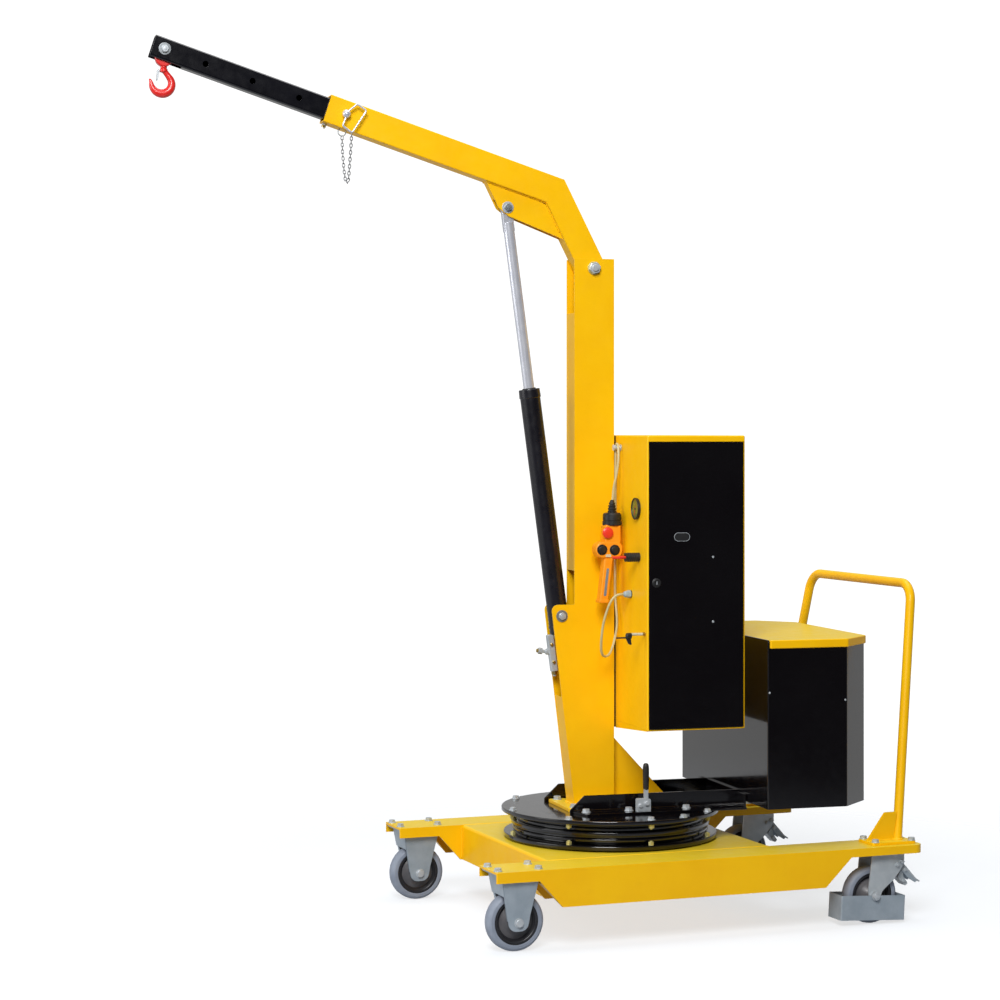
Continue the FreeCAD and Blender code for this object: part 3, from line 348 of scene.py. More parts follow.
def turned(pts, r=1.0, n=3, seg=64, closed=False):
    """A lathe of an outline whose corners are rounded, except those on the axis."""
    flat = []
    m = len(pts)
    for i, p in enumerate(pts):
        end = (not closed) and i in (0, m - 1)
        rad = 0.0 if end or p[0] < 1e-6 else (p[2] if len(p) > 2 else r)
        flat.append((p[0], p[1], rad))
    return lathe(rnd(flat, 0.0, n), seg, closed)


def smooth_path(points, rad, n=8):
    """Straight runs with rounded corners, for bent bars."""
    pts = [Vector(p) for p in points]
    out = [pts[0]]
    for i in range(1, len(pts) - 1):
        a = (pts[i - 1] - pts[i])
        b = (pts[i + 1] - pts[i])
        la, lb = a.length, b.length
        a.normalize()
        b.normalize()
        half = a.angle(b) / 2
        back = min(rad / math.tan(half), la * 0.48, lb * 0.48)
        r = back * math.tan(half)
        c = pts[i] + (a + b).normalized() * (r / math.sin(half))
        s, e = pts[i] + a * back - c, pts[i] + b * back - c
        for j in range(n + 1):
            out.append(c + s.slerp(e, j / n).normalized() * r)
    out.append(pts[-1])
    return out


def tube(points, rad, seg=16, loop=False, caps=True, flat=1.0):
    """Sweeps a round or flattened section along points; rad is a number or one value a point."""
    pts = [Vector(p) for p in points]
    n = len(pts)
    rads = rad if isinstance(rad, (list, tuple)) else [rad] * n
    tang = []
    for i in range(n):
        a = pts[i - 1] if (loop or i > 0) else pts[i]
        b = pts[(i + 1) % n] if (loop or i < n - 1) else pts[i]
        tang.append((b - a).normalized())
    u = tang[0].orthogonal().normalized()
    frames = []
    for i in range(n):
        if i:
            u = tang[i - 1].rotation_difference(tang[i]) @ u
        u = (u - tang[i] * u.dot(tang[i])).normalized()
        frames.append((u.copy(), tang[i].cross(u)))
    if loop:
        last = tang[-1].rotation_difference(tang[0]) @ frames[-1][0]
        off = math.atan2(last.dot(frames[0][1]), last.dot(frames[0][0]))
    bm = bmesh.new()
    rows = []
    for i in range(n):
        turn = -off * i / n if loop else 0.0
        f, g = frames[i]
        rows.append([bm.verts.new(pts[i] + f * (rads[i] * math.cos(2 * math.pi * k / seg + turn)) + g * (rads[i] * flat * math.sin(2 * math.pi * k / seg + turn))) for k in range(seg)])
    for i in range(n if loop else n - 1):
        a, b = rows[i], rows[(i + 1) % n]
        for k in range(seg):
            m = (k + 1) % seg
            bm.faces.new((a[k], a[m], b[m], b[k]))
    if caps and not loop:
        bm.faces.new(rows[0])
        bm.faces.new(list(reversed(rows[-1])))
    bmesh.ops.recalc_face_normals(bm, faces=bm.faces[:])
    return bm


def bead(a, b, rad, step=5.0):
    """A weld bead from a to b with small ripples."""
    a, b = Vector(a), Vector(b)
    n = max(3, int((b - a).length / step * 3))
    pts = [a.lerp(b, i / n) for i in range(n + 1)]
    return tube(pts, [rad * (1.0 + 0.13 * math.sin(2.1 * i)) for i in range(n + 1)], 8)


def aim(at, axis, spin=0.0):
    q = Vector((0, 0, 1)).rotation_difference(Vector(axis).normalized())
    return Matrix.Translation(Vector(at)) @ q.to_matrix().to_4x4() @ Matrix.Rotation(math.radians(spin), 4, "Z")


def hexagon(af, h, cap=True):
    """A hexagon with a turned chamfer on its top."""
    bm = bmesh.new()
    n = 36
    r0 = af / 2 * 0.94
    rows = [[], [], []]
    for i in range(n):
        t = math.radians(360.0 * i / n)
        off = (math.degrees(t) % 60.0) - 30.0
        rh = af / 2 / math.cos(math.radians(off))
        ze = h - (rh - r0) * 0.5
        c, s = math.cos(t), math.sin(t)
        rows[0].append(bm.verts.new((rh * c, rh * s, 0)))
        rows[1].append(bm.verts.new((rh * c, rh * s, ze)))
        rows[2].append(bm.verts.new((r0 * c, r0 * s, h)))
    for a, b in ((rows[0], rows[1]), (rows[1], rows[2])):
        for i in range(n):
            j = (i + 1) % n
            bm.faces.new((a[i], a[j], b[j], b[i]))
    bm.faces.new(rows[2])
    bm.faces.new(list(reversed(rows[0])))
    bmesh.ops.recalc_face_normals(bm, faces=bm.faces[:])
    return bm


def boolean(bm, cutters, op="DIFFERENCE"):
    """bm with each cutter taken away, worked out by the exact solver."""
    me = bpy.data.meshes.new("tmp_a")
    bm.to_mesh(me)
    bm.free()
    ob = bpy.data.objects.new("tmp_a", me)
    scene.collection.objects.link(ob)
    tmp = []
    for c in cutters:
        cm = bpy.data.meshes.new("tmp_c")
        c.to_mesh(cm)
        c.free()
        co = bpy.data.objects.new("tmp_c", cm)
        scene.collection.objects.link(co)
        tmp.append(co)
        mod = ob.modifiers.new("cut", "BOOLEAN")
        mod.operation = op
        mod.solver = "EXACT"
        mod.object = co
    bpy.context.view_layer.update()
    dg = bpy.context.evaluated_depsgraph_get()
    res = bpy.data.meshes.new_from_object(ob.evaluated_get(dg))
    out = bmesh.new()
    out.from_mesh(res)
    for o in tmp + [ob]:
        m = o.data
        bpy.data.objects.remove(o)
        bpy.data.meshes.remove(m)
    bpy.data.meshes.remove(res)
    bmesh.ops.remove_doubles(out, verts=out.verts[:], dist=0.01)
    bmesh.ops.dissolve_limit(out, angle_limit=math.radians(0.6), verts=out.verts[:], edges=out.edges[:])
    return out


class Piece:
    def __init__(self, name, body, slot, mats, *nodes):
        self.name, self.body, self.slot, self.mats, self.nodes = name, body, slot, mats, nodes
        self.bm = bmesh.new()

    def add(self, bm, mat=0, at=UPPER, limit=38.0, flip=False):
        lim = math.radians(limit)
        for f in bm.faces:
            f.material_index = mat
            f.smooth = True
        for e in bm.edges:
            e.smooth = not (len(e.link_faces) == 2 and e.calc_face_angle(0.0) > lim)
        bmesh.ops.transform(bm, matrix=at, verts=bm.verts[:])
        if at.determinant() < 0:
            bmesh.ops.reverse_faces(bm, faces=bm.faces[:])
        me = bpy.data.meshes.new("tmp")
        bm.to_mesh(me)
        bm.free()
        self.bm.from_mesh(me)
        bpy.data.meshes.remove(me)
        return self

    def bolt(self, at, axis, af, h, washer=None, mat=0, frame=UPPER, stub=0.0, spin=0.0, wmat=None):
        m = frame @ aim(at, axis, spin)
        t = 0.0
        if washer:
            r, t = washer
            self.add(turned([(0.0, 0.0), (r, 0.0), (r, t), (0.0, t)], min(0.8, t * 0.4), 2, 32), mat if wmat is None else wmat, m)
        self.add(hexagon(af, h), mat, m @ Matrix.Translation((0, 0, t)), 24.0)
        if stub:
            r = af * 0.29
            self.add(turned([(0.0, 0.0), (r, 0.0), (r, stub), (0.0, stub)], 0.8, 2, 20), mat, m @ Matrix.Translation((0, 0, t + h - 0.2)))
        return self

    def done(self):
        me = bpy.data.meshes.new(self.name)
        self.bm.to_mesh(me)
        self.bm.free()
        for m in self.mats:
            me.materials.append(m)
        ob = bpy.data.objects.new(self.name, me)
        scene.collection.objects.link(ob)
        wn = ob.modifiers.new("normals", "WEIGHTED_NORMAL")
        wn.keep_sharp = True
        wn.weight = 60
        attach(ob, self.body)
        if self.nodes:
            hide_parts(*self.nodes)
        return ob


FLIP = Matrix.Diagonal((1, -1, 1, 1))

# ---------------------------------------------------------------- pendant cable
ROUTE = [
    (-18.0, -171.0, 925.0), (-33.0, -171.0, 925.0), (-46.0, -170.5, 917.0), (-56.0, -168.0, 901.0),
    (-63.5, -164.5, 880.0), (-69.5, -160.0, 857.0), (-73.0, -154.5, 833.0), (-74.0, -147.5, 808.0),
    (-73.0, -140.0, 785.0), (-70.5, -132.5, 769.0), (-66.5, -126.5, 756.0), (-59.5, -119.0, 748.0),
    (-48.0, -109.5, 745.0), (-36.5, -101.0, 749.5), (-28.0, -96.0, 760.5), (-21.0, -93.0, 777.5),
    (-14.5, -90.3, 799.0), (-8.8, -87.0, 824.0), (-6.2, -81.5, 849.0), (-5.2, -71.5, 877.0), (-5.5, -62.0, 915.0),
    (-5.6, -62.7, 954.0), (-6.0, -68.8, 1304.0),
    (-6.0, -69.5, 1346.5), (-6.0, -90.5, 1346.5), (-7.5, -101.0, 1310.0), (-12.0, -104.0, 1276.0), (-18.0, -102.5, 1245.0),
    (-23.5, -100.0, 1216.0), (-25.0, -99.0, 1187.0),
]
cd = bpy.data.curves.new("pendant_cable_line", "CURVE")
cd.dimensions = "3D"
cd.resolution_u = 10
cd.bevel_depth = 0.0035
cd.bevel_resolution = 4
cd.use_fill_caps = True
sp = cd.splines.new("NURBS")
sp.points.add(len(ROUTE) - 1)
for q, p in zip(sp.points, ROUTE):
    v = UPPER @ Vector(p)
    q.co = (v.x, v.y, v.z, 1.0)
sp.order_u = 3
sp.use_endpoint_u = True
cd.materials.append(CABLE)
cable = bpy.data.objects.new("pendant_cable_line", cd)
scene.collection.objects.link(cable)
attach(cable, "slewing_frame")
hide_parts("pendant_cable")

# ---------------------------------------------------------------- chassis
SIDE = [(-525.0, 221.0), (-525.0, 192.0), (-403.0, 192.0), (-337.0, 119.0), (450.0, 119.0), (531.0, 198.0), (761.0, 198.0), (761.0, 221.0)]
for tag, node, m in (("near", "left_side_beam", BASE), ("far", "right_side_beam", BASE @ FLIP)):
    pc = Piece("side_beam_%s" % tag, "chassis", "yellow_paint", [YELLOW, ZINC], node)
    plan = rnd([(-525.0, -463.0, 3.0), (761.0, -463.0, 26.0), (761.0, -329.0, 10.0), (-525.0, -329.0, 2.0)], 0.0, 6)
    shell = prism(plan, "XY", 119.0, 221.0)
    bevel(shell, 7.0, 4, 40.0, lambda e: all(v.co.z > 220.5 for v in e.verts) and not all(v.co.x < -524.0 for v in e.verts)
          and not all(v.co.y > -330.0 for v in e.verts))
    inside = prism(rnd([(-560.0, -457.0), (755.0, -457.0, 20.0), (755.0, -335.0, 6.0), (-560.0, -335.0)], 0.0, 5), "XY", 60.0, 215.0)
    bevel(inside, 3.0, 2, 40.0, lambda e: all(v.co.z > 214.0 for v in e.verts))
    front = prism([(-600.0, 192.0), (-403.0, 192.0), (-337.0, 119.0), (-337.0, 60.0), (-600.0, 60.0)], "XZ", -520.0, -280.0)
    rear = prism([(450.0, 60.0), (450.0, 119.0), (531.0, 198.0), (820.0, 198.0), (820.0, 60.0)], "XZ", -520.0, -280.0)
    shell = boolean(shell, [inside, front, rear])
    bevel(shell, 0.9, 2, 55.0)
    pc.add(shell, 0, m, 40.0)
    # inturned lip along the outer web's lower edge
    lip = [(-394.6, 182.7), (-337.0, 119.0), (450.0, 119.0), (450.0, 123.0), (-335.2, 123.0), (-391.6, 185.4)]
    lip = prism(lip, "XZ", -460.0, -425.0)
    for v in lip.verts:
        if v.co.y > -440.0:
            v.co.y -= 30.0 * max(0.0, min(1.0, (v.co.x + 394.6) / 56.0))
    pc.add(lip, 0, m, 30.0)
    # weld between the deck and the beam's inner edge, on top and underneath
    pc.add(bead((-326.0, -329.0, 220.2), (340.0, -329.0, 220.2), 2.0, 8.0), 0, m, 60.0)
    pc.add(bead((-324.0, -327.0, 212.0), (338.0, -327.0, 212.0), 3.0, 8.0), 0, m, 60.0)
    for x, y in ((-513.0, -361.0), (-513.0, -439.0), (-398.0, -361.0), (-398.0, -439.0)):
        pc.bolt((x, y, 221.0), (0, 0, 1), 17.0, 7.5, (12.0, 2.0), 1, m, 0.0, 17.0 + x)
    pc.done()

pc = Piece("deck_sheet", "chassis", "yellow_paint", [YELLOW], "turntable_deck")
sect = rnd([(-332.0, 119.0), (-332.0, 221.0, 9.0), (346.0, 221.0, 9.0), (346.0, 119.0), (340.0, 119.0), (340.0, 213.0, 3.0), (-326.0, 213.0, 3.0), (-326.0, 119.0)], 0.0, 6)
pc.add(bevel(prism(sect, "XZ", -329.0, 329.0), 0.8, 2, 60.0), 0, BASE, 40.0)
for y in (-329.0, 329.0):
    s = 1 if y < 0 else -1
    for x in (-333.0, 347.0):
        pc.add(bead((x, y + s, 124.0), (x, y + s, 212.0), 3.0), 0, BASE, 60.0)
pc.done()

pc = Piece("base_disc", "chassis", "black_paint", [BLACK, ZINC_GOLD, ZINC], "turntable_base_disc")
pc.add(turned([(0.0, 221.0), (285.0, 221.0, 0.5), (285.0, 226.0, 0.5), (306.0, 226.0, 2.5), (306.0, 238.0, 2.5), (0.0, 238.0)], 1.0, 3, 128), 0, BASE)
for k in range(8):
    t = math.radians(-91.0 + 45.0 * k)
    pc.bolt((297.0 * math.cos(t), 297.0 * math.sin(t), 238.0), (0, 0, 1), 14.0, 9.0, (7.6, 1.4), 1, BASE, 2.5, 11.0 * k)
pc.done()

pc = Piece("slewing_race", "chassis", "black_paint", [BLACK], "slewing_ring_race")
pc.add(turned([(200.0, 238.0), (270.0, 238.0), (270.0, 245.0), (281.0, 245.0), (281.0, 254.0), (272.0, 254.0), (272.0, 262.0),
               (285.0, 262.0), (285.0, 273.0), (200.0, 273.0)], 2.0, 3, 128, True), 0, BASE)
pc.done()

# front castors: bent pressings under a flat plate, the legs splayed above the axle
def splay(bm, way):
    bmesh.ops.bisect_plane(bm, geom=bm.verts[:] + bm.edges[:] + bm.faces[:], plane_co=(0, 0, 100.0), plane_no=(0, 0, 1))
    for v in bm.verts:
        v.co.y += way * 19.0 * max(0.0, (v.co.z - 100.0) / 105.0)
    return bm


pc = Piece("front_forks", "chassis", "zinc_steel", [ZINC_FORK, ZINC], "front_castor_forks")
for m in (BASE, BASE @ FLIP):
    x, y = -452.0, -399.0
    pc.add(block((x - 70, x + 62), (y - 56, y + 56), (210.0, 215.0), 1.0), 0, m)
    legs = rnd([(x - 50, 210), (x - 50, 190, 8.0), (x - 25, 57, 23.0), (x + 25, 57, 23.0), (x + 50, 190, 8.0), (x + 50, 210)], 0.0, 8)
    for lo, hi, s in ((y - 36, y - 32, 1), (y + 32, y + 36, -1)):
        pc.add(splay(prism(legs, "XZ", lo, hi, 1.0), -s), 0, m)
        inner = hi if s > 0 else lo
        for a, b, w in (((x - 50, 203), (x - 49.4, 188), 3.5), ((x - 49.4, 190), (x - 29.5, 84), 3.5), ((x + 49.4, 190), (x + 29.5, 84), -3.5)):
            pc.add(splay(prism([a, b, (b[0] + w, b[1]), (a[0] + w, a[1])], "XZ", min(inner - s, inner + 8 * s), max(inner - s, inner + 8 * s), 0.8), -s), 0, m)
        out = lo if s > 0 else hi
        pc.bolt((x, out, 80.0), (0, -s, 0), 19.0, 7.0, (13.5, 2.0), 1, m, 0.0, 8.0)
    pc.add(block((x - 50, x + 50), (y - 54, y + 54), (202.0, 210.0), 3.0, 3), 0, m)
    web = prism([(x - 55.0, 209.0), (x - 52.0, 209.0), (x - 43.5, 153.0), (x - 46.5, 153.0)], "XZ", y - 44.0, y + 44.0)
    for v in web.verts:
        v.co.y += (9.0 if v.co.y > y else -9.0) * (v.co.z - 153.0) / 56.0
    pc.add(bevel(web, 0.8, 2, 50.0), 0, m)
    pc.add(lathe([(6.0, -36.0), (6.0, 36.0)], 20), 1, m @ aim((x, y, 80.0), (0, 1, 0)))
    for s in (-1, 1):
        pc.add(turned([(6.0, 0.0), (11.0, 0.0), (11.0, 1.6), (6.0, 1.6)], 0.5, 2, 24), 1, m @ aim((x, y + s * 30.3, 80.0), (0, s, 0)))
pc.done()

pc = Piece("rear_swivel_plates", "chassis", "zinc_steel", [ZINC_FORK, ZINC], "rear_castor_plates")
for m in (BASE, BASE @ FLIP):
    y = -399.0
    pc.add(prism(rnd([(609, y - 56), (745, y - 56), (745, y + 56), (609, y + 56)], 9.0), "XY", 210.0, 215.0, 1.0), 0, m)
    pc.add(turned([(0.0, 197.0), (30.0, 197.0, 2.0), (32.0, 200.0), (38.0, 200.5, 2.0), (38.0, 206.0, 2.0), (42.0, 208.0), (42.0, 210.0), (0.0, 210.0)], 1.0, 3, 48), 0,
           m @ Matrix.Translation((679.0, y, 0.0)))
pc.done()

# wheels
for tag, x, y in (("front_left", -452.0, -399.0), ("front_right", -452.0, 399.0), ("rear_left", 620.0, -399.0), ("rear_right", 620.0, 399.0)):
    m = BASE @ aim((x, y, 80.0), (0, 1, 0))
    half = [(62.0, 19.2), (64.0, 20.0), (67.5, 20.0), (68.3, 19.2), (69.2, 19.2), (70.0, 19.9), (73.0, 19.0), (76.4, 16.4), (78.8, 12.4), (79.8, 7.0), (80.0, 2.5)]
    prof = [(r, -h) for r, h in half] + [(r, h) for r, h in reversed(half)]
    pc = Piece(tag + "_tread", tag + "_wheel", "grey_tyre", [TYRE], tag + "_tyre")
    pc.add(lathe(prof, 96, True), 0, m, 50.0)
    pc.done()
    pc = Piece(tag + "_dish", tag + "_wheel", "rim_black", [RIM, HUB, ZINC, WEB], tag + "_rim")
    # a grey cone in the middle, a black ring with a fine groove round it
    cone = [(12.0, 26.0), (16.5, 26.0), (18.5, 25.0), (22.0, 21.0), (34.0, 13.0), (36.0, 12.6), (45.0, 8.4), (46.5, 7.6)]
    ring = [(46.5, 7.6), (49.5, 8.4), (51.0, 12.0), (52.6, 12.6), (53.6, 17.2), (55.0, 18.2), (58.4, 18.2), (59.0, 17.0), (60.0, 17.0), (60.6, 18.2), (62.0, 18.2)]
    for part, mi in ((cone, 3), (ring, 0)):
        pc.add(lathe([(r, -h) for r, h in part] + [(r, h) for r, h in reversed(part)], 80, True), mi, m, 32.0)
    hub = [(6.3, 29.6), (10.6, 29.6), (12.2, 28.0), (12.2, 25.5), (6.3, 25.5)]
    for s in (-1, 1):
        pc.add(lathe([(r, s * h) for r, h in hub], 36, True), 1, m, 32.0)
    pc.done()

# rear swivel forks with foot guards and brake pedals
for side, m in (("left", BASE), ("right", BASE @ FLIP)):
    x, k, y = 620.0, 679.0, -399.0
    pc = Piece("rear_%s_swivel" % side, "rear_%s_castor" % side, "zinc_steel", [ZINC_BRIGHT, ZINC], "rear_%s_fork" % side)
    legs = rnd([(611, 196), (599, 92, 10.0), (604, 66, 12.0), (636, 66, 12.0), (643, 92, 24.0), (676, 120, 30.0), (699, 147, 16.0), (714, 168, 8.0), (714, 196)], 0.0, 7)
    for lo, hi, s in ((y - 34.6, y - 30.6, -1), (y + 30.6, y + 34.6, 1)):
        leg = prism(legs, "XZ", lo, hi)
        for q in range(620, 712, 9):
            bmesh.ops.bisect_plane(leg, geom=leg.verts[:] + leg.edges[:] + leg.faces[:], plane_co=(q, 0, 0), plane_no=(1, 0, 0))
        for q in (92, 106, 120, 134, 148, 162, 178):
            bmesh.ops.bisect_plane(leg, geom=leg.verts[:] + leg.edges[:] + leg.faces[:], plane_co=(0, 0, q), plane_no=(0, 0, 1))
        for v in leg.verts:
            w = max(0.0, 1.0 - ((v.co.x - 655.0) / 62.0) ** 2)
            h = max(0.0, min(1.0, (v.co.z - 92.0) / 60.0))
            v.co.y += s * 6.0 * w * h * h * (3 - 2 * h)
        bevel(leg, 0.9, 2, 50.0)
        pc.add(leg, 0, m, 40.0)
        pc.add(turned([(6.0, 0.0), (14.5, 0.0), (14.5, 3.2), (6.0, 3.2)], 0.7, 2, 32), 1, m @ aim((x, y + s * 34.6, 80.0), (0, s, 0)))
        pc.bolt((x, y + s * 41.0, 80.0), (0, s, 0), 18.0, 6.5, (12.6, 1.8), 1, m, 2.0, 12.0)
    pc.add(turned([(0.0, 184.0), (34.0, 184.0), (40.0, 188.0), (41.0, 195.5), (0.0, 195.5)], 2.5, 3, 48), 0, m @ Matrix.Translation((k, y, 0)))
    pc.add(block((624.0, 709.0), (y - 33.0, y + 33.0), (188.0, 195.0), 1.5), 0, m)
    pc.add(lathe([(6.0, -40.0), (6.0, 40.0)], 20), 1, m @ aim((x, y, 80.0), (0, 1, 0)))
    for s in (-1, 1):
        pc.bolt((705.0, y + s * 34.8, 172.0), (0, s, 0), 12.0, 6.0, (8.6, 1.4), 1, m, 2.0, 5.0)
        pc.bolt((688.0, y + s * 38.0, 165.0), (0, s, 0), 11.0, 6.0, (8.0, 1.4), 1, m, 2.0, 20.0)
    pc.done()

    pc = Piece("rear_%s_guard_ring" % side, "rear_%s_castor" % side, "zinc_steel", [ZINC_FORK], "rear_%s_foot_guard" % side)
    o = rnd([(-101.5, -38.0), (101.5, -38.0), (101.5, 38.0), (-101.5, 38.0)], 4.5, 4)
    i = rnd([(-98.5, -35.0), (98.5, -35.0), (98.5, 35.0), (-98.5, 35.0)], 1.8, 4)
    tip = Matrix.Translation((613.5, y, 47.6)) @ Matrix.Rotation(math.radians(3.0), 4, "Y")
    pc.add(ring_prism(o, i, "XY", -34.5, 34.5, 0.7), 0, m @ tip)
    pc.done()

    pc = Piece("rear_%s_pedal" % side, "rear_%s_brake" % side, "zinc_steel", [ZINC_BRIGHT, ZINC_FORK], "rear_%s_brake_pedal" % side)
    dn = Matrix.Translation((704.0, y, 172.0)) @ Matrix.Rotation(math.radians(48.0), 4, "Y")
    # local X runs down the tread, Z stands off it
    tread = [(-6.0, 2.0), (-4.0, 5.4), (74.0, 5.4), (88.0, 9.0), (90.0, 7.6), (90.0, 5.2), (76.0, 1.4), (0.0, 1.0)]
    pc.add(prism(rnd(tread, 1.4, 3), "XZ", -24.0, 24.0, 0.6), 0, m @ dn)
    for s in (-1, 1):
        cheek = rnd([(-7.0, 4.0, 4.0), (80.0, 5.0, 2.0), (84.0, -4.0, 3.0), (58.0, -12.0, 8.0), (6.0, -13.0, 8.0), (-8.0, -7.0, 5.0)], 0.0, 5)
        pc.add(prism(cheek, "XZ", min(s * 20.0, s * 23.4), max(s * 20.0, s * 23.4), 0.6), 1, m @ dn)
        pc.bolt((30.0, s * 23.4, -4.0), (0, s, 0), 10.0, 4.5, (7.0, 1.2), 0, m @ dn, 0.0, 10.0)
    for t in (22.0, 34.0, 46.0):
        pc.add(prism(rnd([(t, 5.0), (t + 5.0, 5.0), (t + 3.6, 7.2), (t + 1.4, 7.2)], 0.6, 2), "XZ", -19.0, 19.0, 0.5), 0, m @ dn)
    pc.add(turned([(0.0, -30.0), (7.0, -30.0), (7.0, 30.0), (0.0, 30.0)], 1.0, 3, 28), 0, m @ aim((704.0, y, 172.0), (0, 1, 0)))
    pc.add(turned([(0.0, -22.0), (6.0, -22.0), (6.0, 22.0), (0.0, 22.0)], 1.0, 3, 24), 0, m @ dn @ aim((40.0, 0.0, -4.5), (0, 1, 0)))
    # release arm hung under the tread
    arm_side = rnd([(24.0, -6.0), (36.0, -6.0), (44.0, -18.0, 4.0), (70.0, -20.0, 4.0), (71.0, -32.0, 5.0), (34.0, -33.0, 8.0)], 1.5, 4)
    pc.add(prism(arm_side, "XZ", -17.0, 17.0, 1.2), 0, m @ dn)
    for s in (-1, 1):
        pc.bolt((54.0, s * 17.0, -26.0), (0, s, 0), 9.0, 3.6, (6.2, 1.0), 0, m @ dn, 0.0, 25.0)
    for s in (-1, 1):
        pc.bolt((12.0, s * 12.0, 5.4), (0, 0, 1), 10.0, 4.0, (7.0, 1.0), 0, m @ dn)
    pc.done()

# push handle
pc = Piece("handle_tube", "chassis", "yellow_paint", [YELLOW], "push_handle")
low = Vector((713.0, -396.0, 229.0))
path = smooth_path([low, (815.0, -300.0, 943.0), (815.0, 300.0, 943.0), (713.0, 396.0, 229.0)], 60.0, 14)
pc.add(tube(path, 13.5, 32), 0, BASE, 50.0)
for s in (-1, 1):
    ring = [(713.0 + 14.2 * math.cos(t), s * 396.0 + 14.2 * math.sin(t), 230.0) for t in [2 * math.pi * q / 36 for q in range(36)]]
    pc.add(tube(ring, [3.0 * (1 + 0.15 * math.sin(2.4 * q)) for q in range(36)], 8, True), 0, BASE, 60.0)
pc.done()
pc = Piece("handle_feet", "chassis", "yellow_paint", [YELLOW, ZINC], "handle_brackets")
for m in (BASE, BASE @ FLIP):
    y = -396.0
    pc.add(prism(rnd([(612, y - 44), (748, y - 44), (748, y + 44), (612, y + 44)], 5.0), "XY", 221.0, 229.0, 1.2), 0, m)
    rib = rnd([(614.0, 228.0), (700.0, 228.0), (710.0, 306.5, 2.0), (672.0, 306.5, 7.0)], 0.0, 4)
    pc.add(prism(rib, "XZ", y - 4.0, y + 4.0, 1.0), 0, m)
    for s in (-5.0, 5.0):
        pc.add(bead((617.0, y + s, 229.6), (698.0, y + s, 229.6), 2.4), 0, m, 60.0)
    for bx, by in ((625.0, -352.0 - 8), (624.0, -430.0), (739.0, -360.0), (739.0, -430.0)):
        pc.bolt((bx, by, 229.0), (0, 0, 1), 17.0, 7.0, (11.0, 2.0), 1, m, 0.0, 20.0)
pc.done()

# ---------------------------------------------------------------- turntable's moving half
pc = Piece("slewing_rotor", "slewing_frame", "black_paint", [BLACK], "slewing_ring_rotor")
pc.add(turned([(200.0, 273.5), (268.0, 273.5), (268.0, 282.0), (262.0, 284.0), (262.0, 288.0), (268.0, 290.0), (268.0, 296.0), (200.0, 296.0)], 1.6, 3, 128, True), 0)
pc.done()
pc = Piece("top_disc", "slewing_frame", "black_paint", [BLACK, ZINC_GOLD, ZINC], "turntable_top_disc")
pc.add(turned([(0.0, 296.0), (312.0, 296.0, 2.5), (312.0, 308.0, 2.5), (0.0, 308.0)], 1.0, 3, 128), 0)
for k in range(8):
    t = math.radians(-86.0 + 45.0 * k)
    c, s = 298.0 * math.cos(t), 298.0 * math.sin(t)
    pc.bolt((c, s, 308.0), (0, 0, 1), 16.0, 7.0, (11.5, 1.8), 2, UPPER, 0.0, 13.0 * k)
    pc.bolt((c, s, 296.0), (0, 0, -1), 14.5, 9.0, (8.6, 1.5), 1, UPPER, 3.5, 9.0 * k)
pc.bolt((123.0, -276.0, 308.0), (0, 0, 1), 16.0, 7.0, (11.5, 1.8), 2, UPPER, 0.0, 13.0)
pc.done()

pc = Piece("angle_rails", "slewing_frame", "black_paint", [BLACK, ZINC], "frame_rails")
for m in (UPPER, UPPER @ FLIP):
    web = rnd([(-160.0, 308.0), (-160.0, 317.0, 3.0), (-117.0, 357.0, 5.0), (347.0, 357.0), (347.0, 308.0)], 0.0, 4)
    pc.add(prism(web, "XZ", -126.0, -120.0, 1.0), 0, m)
    fl = rnd([(-154.0, -124.0), (-130.0, -190.0, 5.0), (347.0, -190.0, 2.0), (347.0, -124.0)], 0.0, 4)
    pc.add(prism(fl, "XY", 308.0, 314.0, 1.0), 0, m)
    pc.add(bead((-150.0, -127.5, 314.6), (345.0, -127.5, 314.6), 3.6, 9.0), 0, m, 70.0)
    pc.add(prism(rnd([(338.0, -188.0), (345.0, -188.0), (345.0, -126.0), (338.0, -126.0)], 1.0), "XY", 313.0, 352.0, 0.8), 0, m)
    for x in (-122.0, 4.0, 176.0):
        pc.bolt((x, -155.0, 314.0), (0, 0, 1), 19.0, 8.0, (13.0, 2.2), 1, m, 0.0, 7.0 + x)
# tie plate between the rails' rear ends
pc.add(block((339.5, 346.8), (-125.0, 125.0), (308.5, 356.0), 1.0), 0)
pc.done()

# ---------------------------------------------------------------- column
pc = Piece("column_box", "slewing_frame", "yellow_paint", [YELLOW], "column")
side = rnd([(0.0, 318.0), (0.0, 1875.0), (-119.0, 1875.0), (-119.0, 889.0, 3.0), (-188.0, 889.0, 18.0), (-155.0, 627.0, 3.0), (-119.0, 318.0)], 0.0, 7)
for lo, hi in ((-38.0, -33.0), (33.0, 38.0)):
    pl = prism(side, "XZ", lo, hi)
    pl = boolean(pl, [prism([(-61 + 12.2 * math.cos(t), 1848 + 12.2 * math.sin(t)) for t in [2 * math.pi * q / 40 for q in range(40)]], "XZ", -60, 60),
                      prism([(-157 + 10.2 * math.cos(t), 857 + 10.2 * math.sin(t)) for t in [2 * math.pi * q / 32 for q in range(32)]], "XZ", -60, 60)])
    bevel(pl, 1.3, 2, 50.0)
    pc.add(pl, 0)
pc.add(block((-5.0, -0.2), (-33.4, 33.4), (318.0, 1874.0), 0.6), 0)
pc.add(prism(rnd([(-118.6, 985.0), (-114.0, 985.0), (-114.0, 1720.0), (-118.6, 1720.0)], 0.8, 3), "XZ", -33.4, 33.4), 0)
toe = [(-118.8, 318.0), (-154.8, 626.0), (-150.0, 626.0), (-114.0, 318.0)]
pc.add(prism(toe, "XZ", -33.4, 33.4, 0.8), 0)
